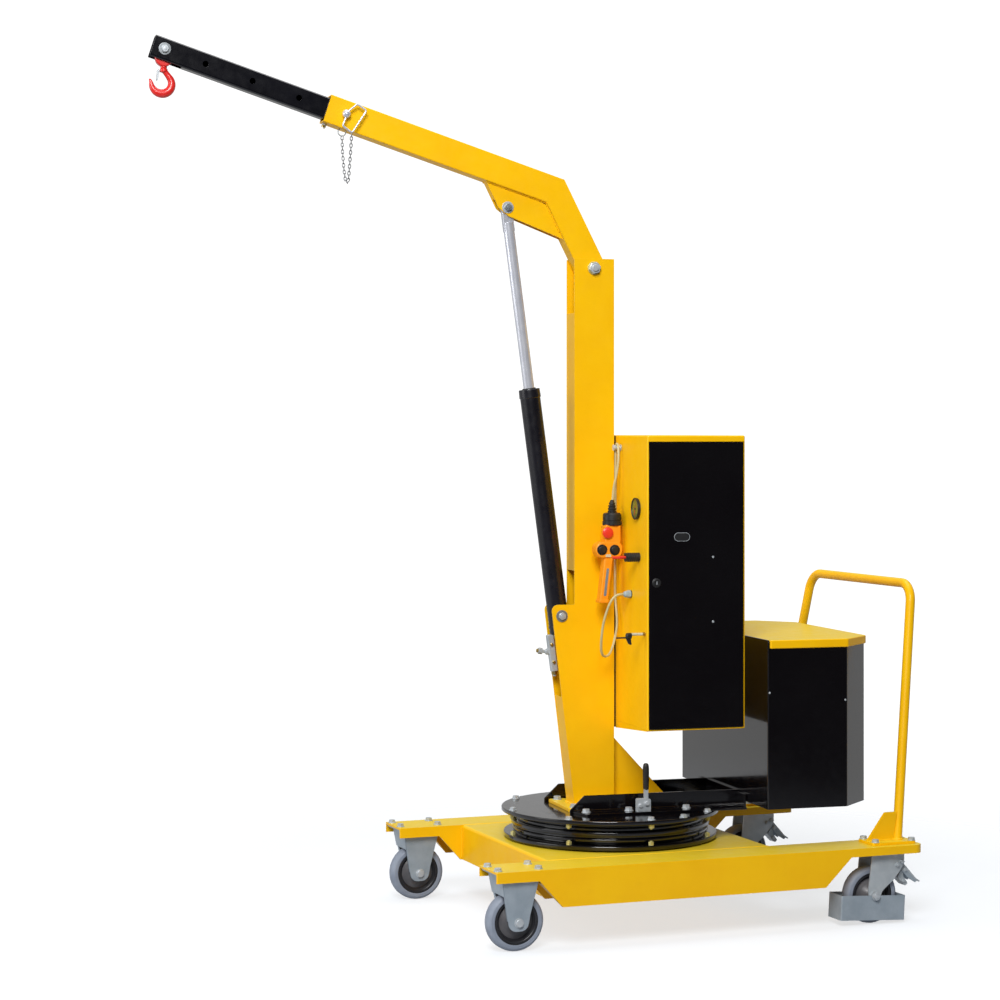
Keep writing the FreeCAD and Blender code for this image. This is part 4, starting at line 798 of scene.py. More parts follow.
for s in (-1, 1):
    pc.add(bead((-1.0, s * 33.6, 330.0), (-1.0, s * 33.6, 1868.0), 1.6, 9.0), 0, UPPER, 60.0)
pc.done()

pc = Piece("column_base", "slewing_frame", "yellow_paint", [YELLOW, ZINC], "column_foot")
pc.add(prism(rnd([(-155, -100), (60, -100), (60, 100), (-155, 100)], 7.0), "XY", 308.0, 318.0, 1.5), 0)
pc.add(prism(rnd([(-1.0, 317.0), (172.0, 317.0, 2.0), (160.0, 340.0, 4.0), (-1.0, 514.5)], 0.0, 4), "XZ", -5.0, 5.0, 1.0), 0)
for s in (-1, 1):
    pc.add(bead((2.0, s * 6.0, 318.8), (60.0, s * 6.0, 318.8), 3.0), 0, UPPER, 60.0)
    pc.add(bead((1.0, s * 6.0, 320.0), (1.0, s * 6.0, 509.0), 2.6), 0, UPPER, 60.0)
    pc.add(bead((-116.0, s * 39.4, 319.0), (-2.0, s * 39.4, 319.0), 3.2), 0, UPPER, 60.0)
    for x in (-134.0, 40.0):
        pc.bolt((x, s * 80.0, 318.0), (0, 0, 1), 19.0, 8.0, (13.0, 2.2), 1, UPPER, 0.0, 24.0)
pc.add(bead((-121.0, -34.0, 319.0), (-121.0, 34.0, 319.0), 3.2), 0, UPPER, 60.0)
pc.done()

pc = Piece("pivot_bolt", "slewing_frame", "zinc_steel", [ZINC, ZINC_GOLD], "jib_pivot_bolt")
pc.add(lathe([(12.0, -44.0), (12.0, 44.0)], 32), 0, UPPER @ aim((-61.0, 0.0, 1848.0), (0, 1, 0)))
for s in (-1, 1):
    at = UPPER @ aim((-61.0, s * 38.0, 1848.0), (0, s, 0))
    pc.add(turned([(0.0, 0.0), (19.0, 0.0), (19.0, 4.0), (0.0, 4.0)], 1.0, 2, 40), 1, at)
    pc.add(hexagon(30.0, 10.0), 0, at @ Matrix.Translation((0, 0, 4.0)) @ Matrix.Rotation(0.25, 4, "Z"), 24.0)
    pc.add(turned([(0.0, 0.0), (9.6, 0.0), (9.6, 5.0), (0.0, 5.0)], 1.2, 3, 28), 0, at @ Matrix.Translation((0, 0, 13.9)))
pc.done()

# ---------------------------------------------------------------- cabinet
pc = Piece("cabinet_box", "slewing_frame", "yellow_paint", [YELLOW, BLACK_SATIN], "cabinet_shell")
body = block((5.0, 293.0), (-311.0, 311.0), (554.0, 1371.0), 4.0, 3)
body = boolean(body, [block((8.0, 290.0), (-308.0, 308.0), (557.0, 1368.0)), block((8.3, 289.7), (-340.0, -290.0), (557.3, 1354.0))])
pc.add(body, 0, UPPER, 40.0)
# return flange round the doorway and a rubber strip on it
pc.add(ring_prism(rnd([(7.6, 556.6), (290.4, 556.6), (290.4, 1355.0), (7.6, 1355.0)], 0.4, 2), rnd([(19.0, 568.0), (279.0, 568.0), (279.0, 1343.0), (19.0, 1343.0)], 0.4, 2), "XZ", -302.0, -300.0, 0.3), 0)
pc.add(ring_prism(rnd([(12.0, 561.0), (286.0, 561.0), (286.0, 1350.0), (12.0, 1350.0)], 0.4, 2), rnd([(19.0, 568.0), (279.0, 568.0), (279.0, 1343.0), (19.0, 1343.0)], 0.4, 2), "XZ", -305.6, -302.0, 0.6), 1)
for z in (700.0, 1245.0):
    pc.add(block((0.0, 5.4), (-30.0, 30.0), (z, z + 45.0), 0.8), 0)
# dark strips in the gap to the column, a painted shade standing in for the gap's shadow, and the stiffening flange
# under the front wall
for s in (-1, 1):
    pc.add(block((0.3, 5.2), (min(s * 34.5, s * 36.8), max(s * 34.5, s * 36.8)), (537.0, 1369.0), 0.4), 1)
    flange = [(s * 305.0, 556.0), (s * 305.0, 553.4), (s * 39.0, 535.0), (s * 34.0, 535.0), (s * 34.0, 556.0)]
    pc.add(prism(flange, "YZ", 5.3, 8.6, 0.4), 0)
# screws that hold the box to the column, seen from behind and below
for z in (722.0, 1267.0):
    for yy in (-16.0, 16.0):
        pc.add(turned([(0.0, 0.0), (6.0, 0.0), (4.0, 3.0), (0.0, 3.4)], 0.8, 2, 20), 1, UPPER @ aim((8.0, yy, z), (1, 0, 0)))
pc.done()

pc = Piece("door_panel", "door", "black_paint", [BLACK, BLACK_PL, ZINC], "cabinet_door")
leaf = prism(rnd([(10.2, 559.2), (287.8, 559.2), (287.8, 1351.8), (10.2, 1351.8)], 3.0, 4), "XZ", -311.0, -308.0)
bevel(leaf, 1.1, 3, 50.0)
pc.add(leaf, 0)
at = UPPER @ aim((31.0, -311.0, 964.0), (0, -1, 0))
pc.add(turned([(0.0, 0.0), (13.0, 0.0), (13.0, 1.6), (10.6, 2.6), (10.0, 5.6), (7.4, 6.0), (7.0, 4.2), (0.0, 4.2)], 0.6, 3, 40), 1, at)
pc.add(block((-1.0, 1.0), (-4.5, 4.5), (3.8, 4.7), 0.3), 2, at)
pc.add(turned([(0.0, 0.0), (9.0, 0.0), (9.0, -14.0), (0.0, -14.0)], 0.8, 2, 24), 2, at @ Matrix.Translation((0, 0, -3.0)))
oval = [(106.0 + 11.0 * (1 if math.cos(t) > 0 else -1) + 12.0 * math.cos(t), 1090.0 + 12.0 * math.sin(t)) for t in [2 * math.pi * (q + 0.5) / 40 for q in range(40)]]
hole = [(106.0 + 11.0 * (1 if math.cos(t) > 0 else -1) + 10.9 * math.cos(t), 1090.0 + 10.9 * math.sin(t)) for t in [2 * math.pi * (q + 0.5) / 40 for q in range(40)]]
pc.add(ring_prism(oval, hole, "XZ", -312.0, -310.5, 0.3), 2)
pc.add(prism(hole, "XZ", -311.6, -310.5), 1)
for z in (1033.5, 854.0):
    pc.add(turned([(0.0, 0.0), (3.4, 0.0), (3.0, 1.2), (0.0, 1.6)], 0.4, 2, 20), 2, UPPER @ aim((197.5, -311.0, z), (0, -1, 0)))
pc.done()

# ---------------------------------------------------------------- fittings on the cabinet's front wall
pc = Piece("gauge", "slewing_frame", "black_plastic", [BLACK_PL, DIAL, RED_PL, ZINC], "pressure_gauge")
at = UPPER @ aim((5.0, -225.0, 1166.5), (-1, 0, 0))
pc.add(turned([(0.0, 0.0), (29.5, 0.0), (29.5, 4.6), (30.5, 5.4), (30.5, 8.2), (29.0, 9.0), (27.0, 8.6), (26.2, 6.0), (0.0, 6.0)], 0.6, 3, 56), 0, at)
pc.add(turned([(0.0, 6.1), (26.0, 6.1), (26.0, 6.5), (0.0, 6.5)], 0.15, 1, 48), 1, at)
for q in range(9):
    t = math.radians(-40.0 + 260.0 * q / 8)
    pc.add(block((19.0, 23.5), (-0.7, 0.7), (6.4, 6.75)), 0, at @ Matrix.Rotation(t, 4, "Z"))
pc.add(prism([(-7.0, -1.4), (19.0, -0.4), (19.0, 0.4), (-7.0, 1.4)], "XY", 6.8, 7.4), 2, at @ Matrix.Rotation(math.radians(160.0), 4, "Z"))
pc.add(turned([(0.0, 6.5), (3.0, 6.5), (3.0, 8.0), (0.0, 8.2)], 0.5, 2, 20), 0, at)
pc.done()

pc = Piece("switch", "slewing_frame", "black_plastic", [BLACK_PL, RED_PL, ZINC], "battery_switch")
at = UPPER @ aim((5.0, -240.0, 1032.0), (-1, 0, 0))
prof = [(0.0, 0.0), (13.0, 0.0), (13.0, 4.0), (11.6, 5.0)]
for q in range(5):
    z = 6.0 + 6.0 * q
    prof += [(11.6, z), (13.0, z + 1.2), (13.0, z + 3.6), (11.6, z + 4.8)]
prof += [(11.6, 37.0), (12.6, 38.0), (12.6, 41.0), (8.0, 41.4), (8.0, 39.6), (0.0, 39.6)]
pc.add(lathe(prof, 40), 0, at, 30.0)
pc.add(turned([(0.0, 38.0), (4.4, 38.0), (4.4, 58.0), (0.0, 58.0)], 0.6, 2, 24), 1, at)
pc.add(prism(rnd([(-5.0, 54.0), (5.0, 54.0), (5.0, 78.6, 3.0), (-5.0, 78.6, 3.0)], 1.0, 4), "XZ", -2.4, 2.4, 0.7), 1, at @ Matrix.Rotation(1.2, 4, "Z"))
pc.done()

pc = Piece("gland", "slewing_frame", "grey_plastic", [GLAND, BLACK_PL], "cable_gland")
at = UPPER @ aim((5.0, -171.0, 925.0), (-1, 0, 0))
pc.add(turned([(0.0, 0.0), (11.0, 0.0), (11.0, 2.0), (0.0, 2.0)], 0.5, 2, 32), 1, at)
pc.add(hexagon(19.0, 10.0), 0, at @ Matrix.Translation((0, 0, 2.0)), 24.0)
pc.add(lathe([(8.8, 11.5), (8.8, 17.0), (8.2, 19.0), (6.6, 21.2), (5.0, 22.6), (4.4, 23.0), (3.6, 22.6), (3.6, 14.0)], 32), 0, at, 30.0)
for q in range(12):
    pc.add(block((8.2, 9.0), (-0.9, 0.9), (12.2, 17.2), 0.2), 0, at @ Matrix.Rotation(math.radians(30.0 * q), 4, "Z"))
pc.done()

pc = Piece("drain_cock", "slewing_frame", "brass_valve", [BRASS, BLACK_PL, PALE_PL], "drain_valve")
at = UPPER @ aim((5.0, -292.0, 822.0), (-1, 0, 0))
pc.add(hexagon(9.0, 8.0), 0, at, 24.0)
pc.add(lathe([(0.0, 7.0), (3.9, 7.0), (3.9, 20.0), (3.2, 20.6), (3.2, 23.0), (3.9, 23.6), (3.9, 44.0), (0.0, 44.6)], 28), 2, at, 30.0)
at = UPPER @ aim((5.0, -292.0, 818.0), (-1, 0, 0))
pc.add(turned([(0.0, 41.0), (8.4, 41.0), (8.4, 54.0), (4.0, 57.0), (0.0, 57.0)], 1.2, 3, 28), 1, at)
wing = rnd([(4.0, 43.0), (4.0, 55.0), (-8.0, 56.0), (-23.0, 49.0, 4.0), (-26.0, 40.0, 4.0), (-14.0, 42.0)], 2.0, 4)
pc.add(prism(wing, "XZ", -3.2, 3.2, 1.0), 1, at)
pc.add(lathe([(0.0, 50.0), (2.2, 50.0), (2.2, 83.0), (1.6, 84.6), (0.0, 85.0)], 20), 1, UPPER @ aim((5.0, -292.0, 813.0), (-1, 0, 0)), 30.0)
pc.done()

pc = Piece("cable_peg", "slewing_frame", "zinc_steel", [ZINC, YELLOW], "cable_hook")
at = UPPER @ aim((5.0, -80.0, 1336.0), (-1, 0, 0))
pc.add(turned([(0.0, 0.0), (10.0, 0.0), (10.0, 1.6), (6.0, 2.4), (6.0, 19.4), (9.0, 20.0), (9.0, 22.6), (0.0, 23.0)], 0.7, 3, 32), 0, at)
pc.done()

# ---------------------------------------------------------------- slewing lock
pc = Piece("lock_yoke", "slewing_frame", "zinc_steel", [ZINC], "lock_bracket")
pc.add(block((18.0, 58.0), (-189.0, -172.0), (314.0, 318.0), 0.8), 0)
for lo, hi in ((-189.0, -185.5), (-175.5, -172.0)):
    cheek = rnd([(18.0, 315.0), (58.0, 315.0), (58.0, 351.0, 6.0), (18.0, 351.0, 4.0)], 0.0, 5)
    pc.add(prism(cheek, "XZ", lo, hi, 0.7), 0)
pc.bolt((46.0, -189.0, 338.0), (0, -1, 0), 12.0, 4.6, (9.0, 1.4), 0, UPPER, 0.0, 10.0)
pc.bolt((46.0, -172.0, 338.0), (0, 1, 0), 12.0, 4.6, (9.0, 1.4), 0, UPPER, 2.0, 10.0)
pc.bolt((27.0, -189.0, 332.0), (0, -1, 0), 10.0, 4.0, (7.0, 1.2), 0, UPPER, 0.0, 25.0)
pc.done()
pc = Piece("lock_handle", "lock_lever", "black_plastic", [BLACK_PL, ZINC], "lock_lever")
pc.add(prism(rnd([(39.6, 327.0, 6.0), (52.4, 327.0, 6.0), (52.0, 381.0), (40.0, 381.0)], 0.0, 5), "XZ", -184.5, -176.5, 0.8), 1)
pc.add(lathe([(0.0, 376.0), (5.6, 376.0), (7.4, 377.0), (8.2, 381.0), (8.6, 398.0), (9.0, 423.0), (8.8, 438.0), (7.6, 445.0), (5.0, 448.8), (0.0, 450.0)], 32), 0,
       UPPER @ Matrix.Translation((46.0, -180.5, 0.0)), 30.0)
pc.done()

# ---------------------------------------------------------------- counterweight
def weight_outline(o, front):
    k = o * math.tan(math.radians(22.5))
    return rnd([(front, -346.0 - o, 5.0), (585.0 + k, -346.0 - o, 8.0), (680.0 + o, -251.0 - k, 8.0),
                (680.0 + o, 251.0 + k, 8.0), (585.0 + k, 346.0 + o, 8.0), (front, 346.0 + o, 5.0)], 0.0, 5)


pc = Piece("ballast_box", "slewing_frame", "black_paint", [BLACK, ZINC], "counterweight")
# the front wall stands up beside the lid, its upper corners rounded
cuts = [block((352.0, 760.0), (-420.0, 420.0), (777.0, 860.0))]
for s in (-1, 1):
    fillet = [(s * 380.0, 830.0), (s * 380.0, 793.0)] + [(s * (338.0 - 8.0 * math.cos(t + math.pi)), 793.0 + 8.0 * math.sin(t)) for t in [math.pi / 2 * q / 6 for q in range(7)]] + [(s * 338.0, 830.0)]
    cuts.append(prism(fillet, "YZ", 320.0, 400.0))
pc.add(bevel(boolean(prism(weight_outline(0.0, 347.0), "XY", 330.0, 801.0), cuts), 1.8, 3, 50.0), 0, UPPER, 40.0)
for x, y, z, ax in ((352.0, -346.0, 655.0, (0, -1, 0)), (580.0, -346.0, 629.0, (0, -1, 0))):
    pc.add(turned([(0.0, 0.0), (3.2, 0.0), (2.6, 1.6), (0.0, 2.0)], 0.5, 2, 20), 1, UPPER @ aim((x, y, z), ax))
pc.done()
pc = Piece("ballast_lid", "slewing_frame", "yellow_paint", [YELLOW], "counterweight_lid")
pc.add(bevel(prism(weight_outline(5.0, 353.0), "XY", 777.5, 801.0), 3.0, 4, 50.0), 0, UPPER, 40.0)
pc.done()

# ---------------------------------------------------------------- jib
ll = math.radians(27.0)
lx, lz, bx, bz = -math.sin(ll), math.cos(ll), math.cos(ll), math.sin(ll)


def meet(p, u, q, v):
    den = u[0] * v[1] - u[1] * v[0]
    t = ((q[0] - p[0]) * v[1] - (q[1] - p[1]) * v[0]) / den
    return (p[0] + u[0] * t, p[1] + u[1] * t)


back = (-61.0 + bx * 39.5, 1848.0 + bz * 39.5)
face = (-61.0 - bx * 39.5, 1848.0 - bz * 39.5)
heel = meet(back, (lx, lz), (EX, EZ), (-CA, SA))
crook = meet(face, (lx, lz), on_arm(0, 79.0), (-CA, SA))
round_foot = [(-61.0 + 39.5 * math.cos(t), 1848.0 + 39.5 * math.sin(t)) for t in [ll + math.pi + math.pi * q / 20 for q in range(21)]]
pts = [heel, on_arm(703.6, 0), on_arm(703.6, 79.0), crook] + round_foot
mass = prism(pts, "XZ", -28.0, 28.0)
bevel(mass, 3.2, 3, 60.0, lambda e: abs(e.verts[0].co.y - e.verts[1].co.y) < 1e-3 and not all(abs((v.co.x - EX) * -CA + (v.co.z - EZ) * SA - 703.6) < 0.5 for v in e.verts))
bore = prism(rnd([(-24.0, -75.0), (24.0, -75.0), (24.0, -4.0), (-24.0, -4.0)], 2.0, 3), "YZ", 41.6, 760.0)
local = UPPER.inverted() @ ARM
bmesh.ops.transform(bore, matrix=local, verts=bore.verts[:])
hole = prism([(650.0 + 8.5 * math.cos(t), -39.5 + 8.5 * math.sin(t)) for t in [2 * math.pi * q / 28 for q in range(28)]], "XZ", -60.0, 60.0)
bmesh.ops.transform(hole, matrix=local, verts=hole.verts[:])
pivot = prism([(-61 + 12.2 * math.cos(t), 1848 + 12.2 * math.sin(t)) for t in [2 * math.pi * q / 36 for q in range(36)]], "XZ", -60.0, 60.0)
mass = boolean(mass, [bore, hole, pivot])
pc = Piece("jib_tube", "jib", "yellow_paint", [YELLOW, ZINC, BRASS, ZINC_WASHER], "jib_arm")
pc.add(mass, 0, UPPER, 40.0)
lug = rnd([on_arm(211, 76.0), (-337.0, 2015.0, 14.0), (-307.0, 1992.0, 16.0), (-140.0, 1927.5), (-140.0, 1985.0), on_arm(60, 74.0)], 0.0, 7)
for lo, hi in ((-17.0, -11.0), (11.0, 17.0)):
    pc.add(prism(lug, "XZ", lo, hi, 1.0), 0)
tie0, tie1 = on_arm(210.0, 78.0), (-341.0, 2026.0)
tie1 = (tie1[0] + (tie0[0] - tie1[0]) * 0.22, tie1[1] + (tie0[1] - tie1[1]) * 0.22)
pc.add(prism([tie0, tie1, (tie1[0] + 5.0, tie1[1] - 1.0), (tie0[0] + 5.0, tie0[1] - 1.0)], "XZ", -11.5, 11.5, 0.6), 0)
for s in (-1, 1):
    a, b = on_arm(208.0, 80.0), crook
    pc.add(bead((a[0], s * 18.4, a[1]), (b[0] + 4.0, s * 18.4, b[1] - 2.0), 2.6), 0, UPPER, 60.0)
    pc.add(bead((b[0] + 3.0, s * 18.4, b[1] - 4.0), (-158.0, s * 18.4, 1950.0), 2.6), 0, UPPER, 60.0)
    pc.bolt((-311.0, s * 17.0, 2017.0), (0, s, 0), 19.0, 8.0, (17.0, 2.6), 3, UPPER, 2.0, 14.0, 1)
# thumb screw under the arm's mouth
at = ARM @ aim((694.0, 0.0, -79.0), (0, 0, -1))
pc.add(hexagon(13.0, 5.0), 1, at, 24.0)
pc.add(turned([(0.0, 4.0), (4.0, 4.0), (4.0, 6.0), (6.5, 7.0), (6.5, 10.5), (0.0, 11.0)], 0.6, 2, 24), 2, at)
for s in (-1, 1):
    wing = rnd([(0.0, 6.5), (s * 6.0, 6.5), (s * 12.0, 8.0), (s * 14.0, 13.0), (s * 7.5, 12.0), (0.0, 10.6)], 1.6, 3)
    pc.add(prism(wing, "XZ", -1.6, 1.6, 0.6), 2, at @ Matrix.Rotation(0.4, 4, "Z"))
pc.done()

# locking pin with its wire ring, the eye under the arm and the chain between them
pc = Piece("lock_pin_set", "jib", "zinc_steel", [ZINC, CHROME, CHAIN], "jib_lock_pin")
px, pz = on_arm(650.0, 39.5)
at = UPPER @ aim((px, -28.0, pz), (0, -1, 0))
pc.add(lathe([(0.0, -4.0), (8.2, -4.0), (8.2, 2.0), (7.0, 3.0), (9.6, 5.0), (11.4, 8.5), (11.8, 12.5), (10.6, 17.0), (7.4, 20.4), (3.6, 21.8), (0.0, 22.2)], 36), 1, at, 30.0)
loop = [(-786.0, -44.0, 2252.0), (-795.3, -45.0, 2229.0), (-768.7, -46.0, 2210.0), (-727.5, -46.0, 2273.0), (-753.3, -45.0, 2290.5), (-779.0, -44.0, 2270.0)]
pc.add(tube(smooth_path(loop, 6.0, 6), 2.6, 12), 1, UPPER, 50.0)
eye = [(-789.4 + 11.0 * math.cos(t), -8.0, 2216.0 + 11.0 * math.sin(t)) for t in [2 * math.pi * q / 28 for q in range(28)]]
pc.add(tube(eye, 1.9, 10, True), 0, UPPER, 50.0)


def chain(points, pitch, n0):
    pts = [Vector(p) for p in points]
    seg = [(b - a).length for a, b in zip(pts, pts[1:])]
    total = sum(seg)
    n = int(total / pitch)
    for q in range(n):
        s = (q + 0.5) * total / n
        i = 0
        while i < len(seg) - 1 and s > seg[i]:
            s -= seg[i]
            i += 1
        c = pts[i].lerp(pts[i + 1], s / seg[i])
        dirn = (pts[i + 1] - pts[i]).normalized()
        side_v = dirn.cross(Vector((0.3, 1.0, 0.1))).normalized()
        if (q + n0) % 2:
            side_v = dirn.cross(side_v).normalized()
        h, w = pitch * 0.62, 3.5
        ring = []
        for a in range(14):
            t = 2 * math.pi * a / 14
            ring.append(c + dirn * (max(-h + w, min(h - w, (h - w) * 2.0 * math.cos(t))) + w * math.cos(t)) + side_v * (w * math.sin(t)))
        pc.add(tube(ring, 1.35, 8, True), 2, UPPER, 70.0)


chain([(-789.0, -8.0, 2204.0), (-788.5, -12.0, 2160.0), (-786.0, -17.0, 2115.0), (-783.0, -22.0, 2084.0), (-779.0, -26.0, 2074.0),
       (-775.5, -30.0, 2082.0), (-774.0, -35.0, 2115.0), (-771.5, -40.0, 2160.0), (-769.5, -44.0, 2209.0)], 9.5, 0)
pc.done()

# ---------------------------------------------------------------- extension
pc = Piece("extension_tube", "extension", "black_paint", [BLACK_TUBE, ZINC, ZINC_WASHER], "jib_extension")
o = rnd([(-21.0, -70.5), (21.0, -70.5), (21.0, -8.5), (-21.0, -8.5)], 7.5, 6)
i = rnd([(-17.0, -66.5), (17.0, -66.5), (17.0, -12.5), (-17.0, -12.5)], 3.8, 6)
box = ring_prism(o, i, "YZ", 462.0, 1211.0)
cuts = []
for q in range(4):
    cx = 650.0 + 136.7 * q
    cuts.append(prism([(cx + 8.5 * math.cos(t), -39.5 + 8.5 * math.sin(t)) for t in [2 * math.pi * w / 32 for w in range(32)]], "XZ", 0.0, 40.0))
cuts.append(block((1119.0, 1240.0), (-17.0, 17.0), (-90.0, -60.0)))
box = boolean(box, cuts)
bevel(box, 0.8, 2, 60.0)
pc.add(box, 0, ARM, 30.0)
tb = (1178.0, 0.0, -38.5)
pc.add(lathe([(6.0, -21.0), (6.0, 21.0)], 24), 1, ARM @ aim(tb, (0, 1, 0)))
for s in (-1, 1):
    pc.bolt((tb[0], s * 21.0, tb[2]), (0, s, 0), 18.0, 7.0, (17.0, 2.4), 1, ARM, 1.5, 20.0, 2)
pc.done()

# ---------------------------------------------------------------- hook
TX, TZ = on_arm(1178.0, 38.5)
pc = Piece("hook_shackle", "hook_eye", "red_paint", [RED], "hook_eye")
tan_a = math.asin(10.0 / 23.0)
web = [(TX + 14.0 * math.cos(t), TZ + 14.0 * math.sin(t)) for t in [tan_a + (math.pi - 2 * tan_a) * q / 14 for q in range(15)]]
web += [(TX + 24.0 * math.cos(t), TZ - 23.0 + 24.0 * math.sin(t)) for t in [math.pi - tan_a + (math.pi + 2 * tan_a) * q / 24 for q in range(25)]]
eye = prism(web, "XZ", -11.0, 11.0)
eye = boolean(eye, [prism([(TX + 6.2 * math.cos(t), TZ + 6.2 * math.sin(t)) for t in [2 * math.pi * q / 24 for q in range(24)]], "XZ", -40.0, 40.0)])
bevel(eye, 4.0, 4, 50.0, lambda e: all((Vector((v.co.x - TX, v.co.z - TZ))).length > 8.0 for v in e.verts))
pc.add(eye, 0, UPPER, 40.0)
pc.add(turned([(0.0, TZ - 51.0), (9.0, TZ - 51.0), (9.0, TZ - 42.0), (13.0, TZ - 38.0), (0.0, TZ - 38.0)], 1.5, 3, 32), 0, UPPER @ Matrix.Translation((TX, 0, 0)))
pc.done()

pc = Piece("hook_bowl", "hook", "red_paint", [RED], "load_hook")
cx, cz = TX - 4.0, TZ - 95.5
way, rads, flats = [], [], []
for q in range(7):
    t = q / 6
    way.append(Vector((TX + (cx + 28.6 * math.cos(math.radians(52)) - TX) * t, 0, (TZ - 55.0) + (cz + 28.6 * math.sin(math.radians(52)) - (TZ - 55.0)) * t)))
    rads.append(8.6 - 0.8 * math.sin(math.pi * t))
for q in range(1, 37):
    ph = 52.0 - 232.0 * q / 36
    k = max(0.0, min(1.0, (52.0 - ph) / 130.0))
    k2 = max(0.0, min(1.0, (-70.0 - ph) / 110.0))
    th = 8.6 + 3.6 * math.sin(math.pi / 2 * k) - 5.4 * k2 * k2
    rr = 36.6 - th
    way.append(Vector((cx + rr * math.cos(math.radians(ph)), 0, cz + rr * math.sin(math.radians(ph)))))
    rads.append(th)
end = way[-1]
for q in range(1, 9):
    t = q / 8
    way.append(end + Vector((-0.10 - 0.24 * t, 0, 1.0)) * (15.0 * t))
    rads.append(6.8 * (1 - t) + 2.6 * t if q < 8 else 1.2)
pc.add(tube(way, rads, 24), 0, UPPER, 60.0)
pc.add(turned([(0.0, TZ - 62.0), (8.8, TZ - 62.0), (10.6, TZ - 60.0), (10.6, TZ - 53.5), (9.4, TZ - 51.4), (0.0, TZ - 51.4)], 1.0, 3, 36), 0, UPPER @ Matrix.Translation((TX, 0, 0)))
pc.done()
pc = Piece("hook_keeper", "latch", "zinc_steel", [ZINC], "hook_latch")
la, lb = Vector((TX - 14.5, TZ - 59.0)), Vector((TX - 18.5, TZ - 84.5))
rn = (lb - la).normalized()
sd = Vector((-rn.y, rn.x))
lp = [(la - sd * 3.6, 2.0), (la.lerp(lb, 0.4) - sd * 3.0, 3.0), (lb - sd * 2.0, 1.2), (lb + sd * 1.6, 1.2), (la.lerp(lb, 0.4) + sd * 2.0, 3.0), (la + sd * 3.2, 2.0)]
pc.add(prism(rnd([(p.x, p.y, r) for p, r in lp], 0.0, 4), "XZ", -5.8, 5.8, 0.5), 0)
pc.add(turned([(0.0, -6.4), (2.6, -6.4), (2.6, 6.4), (0.0, 6.4)], 0.6, 2, 20), 0, UPPER @ aim((la.x - 0.4, 0.0, la.y), (0, 1, 0)))
spring = [(la.x - 0.4 + 3.3 * math.cos(t), -5.0 + 10.0 * t / (10 * math.pi), la.y + 3.3 * math.sin(t)) for t in [10 * math.pi * q / 80 for q in range(81)]]
pc.add(tube(spring, 0.6, 6), 0, UPPER, 60.0)
pc.done()

# ---------------------------------------------------------------- luffing cylinder
pc = Piece("barrel_tube", "barrel", "black_paint", [BLACK_SATIN, ZINC, BLACK_PL, ZINC_WASHER], "cylinder_barrel")
pc.add(turned([(16.2, 640.0), (16.2, 651.0), (30.0, 651.0, 2.0), (31.0, 627.0, 1.2), (29.0, 625.0, 0.8), (29.0, -52.0, 2.5), (0.0, -52.0)], 1.0, 3, 64), 0, CYL)
pc.add(turned([(15.7, 649.0), (19.6, 649.0), (19.0, 654.0), (15.7, 654.0)], 0.8, 2, 48, True), 2, CYL)
pc.add(lathe([(29.6, -36.0), (30.4, -34.0), (30.4, -30.0), (29.6, -28.0)], 64), 0, CYL)
for s in (-1, 1):
    pc.add(lathe([(10.0, 20.0), (10.0, 40.0)], 32), 1, CYL @ aim((0, 0, 0), (0, s, 0)))
    pc.bolt((0, s * 38.6, 0), (0, s, 0), 19.0, 6.4, (17.0, 2.4), 1, CYL, 1.6, 16.0, 3)
pc.done()

pc = Piece("valve_set", "barrel", "zinc_steel", [ZINC, BRASS, BLACK_PL], "cylinder_valve")
blk = rnd([(-41.5, -9.5), (-22.5, -9.5), (-22.5, 9.5), (-41.5, 9.5)], 2.5, 3)
pc.add(bevel(prism(blk, "XY", -156.0, -52.5), 1.2, 2, 50.0), 0, CYL)
pc.add(prism(rnd([(-40.0, -8.0), (8.0, -8.0), (8.0, 8.0), (-40.0, 8.0)], 3.0, 3), "XY", -61.0, -51.5, 1.0), 0, CYL)
pc.add(hexagon(15.0, 10.0), 1, CYL @ aim((-32.0, 0, -156.0), (0, 0, -1)), 24.0)
pc.add(turned([(0.0, 0.0), (5.0, 0.0), (5.0, 5.0), (0.0, 5.0)], 1.0, 2, 24), 0, CYL @ aim((-32.0, 0, -165.6), (0, 0, -1)))
pt = UPPER @ aim((TRX + CD.x * -102.0 - CD.z * 32.0, 0.0, TRZ + CD.z * -102.0 + CD.x * 32.0), (-1, 0, 0.13))
pc.add(turned([(0.0, 6.0), (5.8, 6.0), (5.8, 20.0), (5.0, 21.0), (5.0, 31.0), (0.0, 31.0)], 0.6, 2, 32), 0, pt)
pc.add(hexagon(15.0, 9.0), 0, pt @ Matrix.Translation((0, 0, 9.0)), 24.0)
pc.add(hexagon(16.0, 12.0), 0, pt @ Matrix.Translation((0, 0, 29.0)), 24.0)
pc.add(turned([(0.0, 40.0), (5.4, 40.0), (5.4, 46.0), (0.0, 46.0)], 0.9, 2, 24), 1, pt)
for z in (-80.0, -130.0):
    pc.bolt((-32.0, -9.5, z), (0, -1, 0), 9.0, 4.0, None, 1, CYL)
pc.done()

pc = Piece("piston_rod", "rod", "chrome_rod", [CHROME, ZINC], "cylinder_rod")
pc.add(turned([(0.0, 515.0), (15.5, 515.0), (15.5, REACH - 42.0), (0.0, REACH - 42.0)], 0.8, 3, 56), 0, CYL)
pc.add(prism(rnd([(-15.5, -9.6), (15.5, -9.6), (15.5, 9.6), (-15.5, 9.6)], 2.0, 3), "XY", REACH - 68.0, REACH - 8.0, 0.8), 0, CYL)
eyer = [(16.5 * math.cos(t), REACH + 16.5 * math.sin(t)) for t in [2 * math.pi * q / 48 for q in range(48)]]
pc.add(prism(eyer, "XZ", -9.8, 9.8, 1.4), 0, CYL, 40.0)
pc.done()

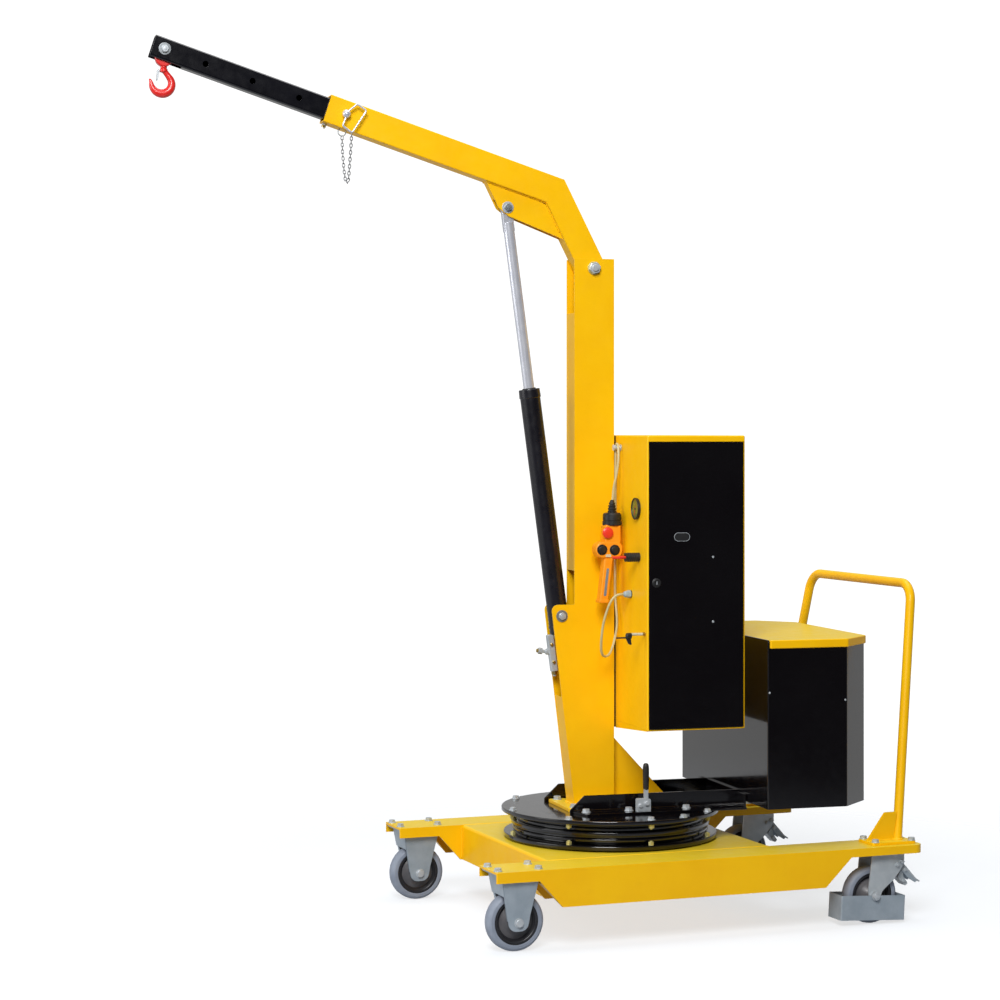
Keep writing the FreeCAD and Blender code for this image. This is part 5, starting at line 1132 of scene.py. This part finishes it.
# ---------------------------------------------------------------- pendant control
pc = Piece("pendant", "slewing_frame", "orange_plastic", [ORANGE, BLACK_PL, RED_PL, GREY_PL, PALE_PL], "pendant_control")
px, py, pt0 = -28.0, -99.0, 1187.0
upper_body = rnd([(px - 26.0, pt0 - 69.0, 6.0), (px + 21.0, pt0 - 69.0, 6.0), (px + 21.0, pt0 - 122.0), (px - 26.0, pt0 - 122.0)], 0.0, 5)
pc.add(prism(upper_body, "XZ", py - 20.0, py + 20.0, 4.0, 4, 50.0), 0)
head = rnd([(px - 53.0, pt0 - 117.0, 20.0), (px + 27.0, pt0 - 115.0, 20.0), (px + 26.0, pt0 - 163.0, 21.0), (px - 53.0, pt0 - 163.0, 21.0)], 0.0, 8)
pc.add(prism(head, "XZ", py - 21.0, py + 21.0, 5.0, 4, 50.0), 0)
grip = rnd([(px - 25.0, pt0 - 156.0), (px + 0.0, pt0 - 156.0), (px - 15.0, pt0 - 284.0, 4.0), (px - 40.0, pt0 - 284.0, 4.0)], 0.0, 5)
pc.add(prism(grip, "XZ", py - 17.0, py + 17.0, 6.0, 4, 50.0), 0)
lip = rnd([(px - 42.0, pt0 - 280.0, 3.0), (px - 13.0, pt0 - 280.0, 3.0), (px - 14.0, pt0 - 290.0, 4.0), (px - 43.0, pt0 - 290.0, 4.0)], 0.0, 4)
pc.add(prism(lip, "XZ", py - 19.0, py + 19.0, 2.5, 3, 50.0), 0)
stripe = rnd([(px - 20.5, pt0 - 192.0), (px - 13.0, pt0 - 192.0), (px - 22.0, pt0 - 270.0), (px - 29.5, pt0 - 270.0)], 2.4, 4)
pc.add(prism(stripe, "XZ", py - 17.8, py - 15.0, 0.5), 3)
cap = [(0.0, 1116.0), (26.0, 1116.0), (26.8, 1117.0), (26.8, 1128.0), (25.2, 1129.0), (25.2, 1131.0), (26.8, 1132.0), (26.2, 1146.0), (23.0, 1151.0), (12.5, 1152.5),
       (12.5, 1156.0), (10.4, 1157.0), (10.4, 1160.0), (12.0, 1161.0), (12.0, 1164.5), (9.4, 1165.5), (9.4, 1168.5), (10.8, 1169.5), (10.8, 1172.5), (8.2, 1173.5),
       (8.2, 1176.5), (9.2, 1177.5), (8.8, 1180.5), (6.6, 1181.5), (6.0, 1186.0), (4.0, 1188.0), (0.0, 1188.0)]
pc.add(lathe(cap, 40), 1, UPPER @ Matrix.Translation((px + 1.0, py, 0)), 30.0)
for q in range(14):
    pc.add(block((26.0, 27.6), (-1.6, 1.6), (1118.0, 1127.0), 0.5), 1, UPPER @ Matrix.Translation((px + 1.0, py, 0)) @ Matrix.Rotation(2 * math.pi * q / 14, 4, "Z"))
at = UPPER @ aim((px - 20.0, py - 19.0, pt0 - 91.0), (0, -1, 0))
pc.add(turned([(0.0, 0.0), (13.0, 0.0), (13.0, 3.0), (0.0, 3.0)], 0.8, 2, 36), 1, at)
pc.add(lathe([(0.0, 2.0), (11.0, 2.0), (15.0, 4.0), (16.0, 6.0), (15.6, 8.4), (12.0, 10.6), (6.0, 11.6), (0.0, 11.8)], 40), 2, at, 40.0)
for bx2, bz2 in ((px - 35.5, pt0 - 139.0), (px + 2.0, pt0 - 140.0)):
    at = UPPER @ aim((bx2, py - 20.4, bz2), (0, -1, 0))
    pc.add(lathe([(0.0, 0.0), (15.0, 0.0), (15.0, 2.4), (13.8, 3.4), (12.4, 3.4), (11.6, 2.0), (11.0, 2.0), (10.6, 5.6), (8.6, 6.6), (0.0, 6.2)], 40), 1, at, 30.0)
pc.add(prism(rnd([(px - 25.0, pt0 - 160.0), (px - 9.0, pt0 - 160.0), (px - 9.0, pt0 - 152.0), (px - 25.0, pt0 - 152.0)], 2.0, 3), "XZ", py - 21.8, py - 20.0, 0.4), 4)
pend = pc.done()

tuple(UPPER @ Vector(ROUTE[0]))

# ---------------------------------------------------------------- floor, world and lights
fm = bmesh.new()
bmesh.ops.create_grid(fm, x_segments=8, y_segments=8, size=30.0)
me = bpy.data.meshes.new("studio_floor")
fm.to_mesh(me)
fm.free()
floor = bpy.data.objects.new("studio_floor", me)
scene.collection.objects.link(floor)
fl = Nodes("pale_floor")
fl.link(fl.mix(fl.noise(1.2, 3.0), (0.80, 0.86, 0.95, 1.0), (0.78, 0.84, 0.93, 1.0)), fl.p.inputs["Base Color"])
fl.link(fl.ramp(fl.noise(9.0, 3.0), 0.3, 0.7, 0.75, 0.9), fl.p.inputs["Roughness"])
fl.put(Specular_IOR_Level=0.1)
# a thin pale floor over the white cove, fading out away from the object
far = fl.new("ShaderNodeVectorMath")
far.operation = "LENGTH"
fl.link(fl.co, far.inputs[0])
fade = fl.ramp(far.outputs["Value"], 1.5, 3.4, 0.60, 1.0)
clear = fl.new("ShaderNodeBsdfTransparent")
both = fl.new("ShaderNodeMixShader")
fl.link(fade, both.inputs[0])
fl.link(fl.p.outputs[0], both.inputs[1])
fl.link(clear.outputs[0], both.inputs[2])
fl.link(both.outputs[0], fl.nt.nodes["Material Output"].inputs["Surface"])
me.materials.append(fl.mat)

world = bpy.data.worlds.new("studio")
scene.world = world
world.use_nodes = True
wt = world.node_tree
bg = wt.nodes["Background"]
tc = wt.nodes.new("ShaderNodeTexCoord")
sep = wt.nodes.new("ShaderNodeSeparateXYZ")
wt.links.new(tc.outputs["Generated"], sep.inputs["Vector"])
# a bright cove behind and beside the object, a dim room on the near side
rng = wt.nodes.new("ShaderNodeMapRange")
rng.interpolation_type = "SMOOTHSTEP"
rng.inputs["From Min"].default_value = -0.70
rng.inputs["From Max"].default_value = 0.10
rng.inputs["To Min"].default_value = 0.04
rng.inputs["To Max"].default_value = 0.44
wt.links.new(sep.outputs["Y"], rng.inputs["Value"])
high = wt.nodes.new("ShaderNodeMapRange")
high.interpolation_type = "SMOOTHSTEP"
high.inputs["From Min"].default_value = 0.05
high.inputs["From Max"].default_value = 0.90
high.inputs["To Min"].default_value = 1.0
high.inputs["To Max"].default_value = 0.75
wt.links.new(sep.outputs["Z"], high.inputs["Value"])
mul = wt.nodes.new("ShaderNodeMath")
mul.operation = "MULTIPLY"
wt.links.new(rng.outputs["Result"], mul.inputs[0])
wt.links.new(high.outputs["Result"], mul.inputs[1])
lp_n = wt.nodes.new("ShaderNodeLightPath")
mx = wt.nodes.new("ShaderNodeMix")
mx.data_type = "FLOAT"
wt.links.new(lp_n.outputs["Is Camera Ray"], mx.inputs[0])
wt.links.new(mul.outputs["Value"], mx.inputs[2])
mx.inputs[3].default_value = 1.12
bg.inputs["Color"].default_value = (1.0, 1.0, 1.0, 1.0)
wt.links.new(mx.outputs[0], bg.inputs["Strength"])


def area(name, at, to, size, power, colour=(1, 1, 1)):
    ld = bpy.data.lights.new(name, "AREA")
    ld.shape = "RECTANGLE"
    ld.size, ld.size_y = size
    ld.energy = power
    ld.color = colour
    lo = bpy.data.objects.new(name, ld)
    lo.location = at
    lo.rotation_euler = (Vector(to) - Vector(at)).to_track_quat("-Z", "Y").to_euler()
    scene.collection.objects.link(lo)
    return lo


area("key", (-3.2, -5.6, 5.2), (0.0, 0.0, 1.2), (3.0, 3.0), 560.0)
area("overhead", (0.3, 0.4, 5.6), (0.3, 0.4, 0.0), (3.4, 3.4), 115.0)
area("left_side", (-6.0, 0.6, 2.6), (0.0, 0.0, 1.2), (3.0, 3.0), 90.0)
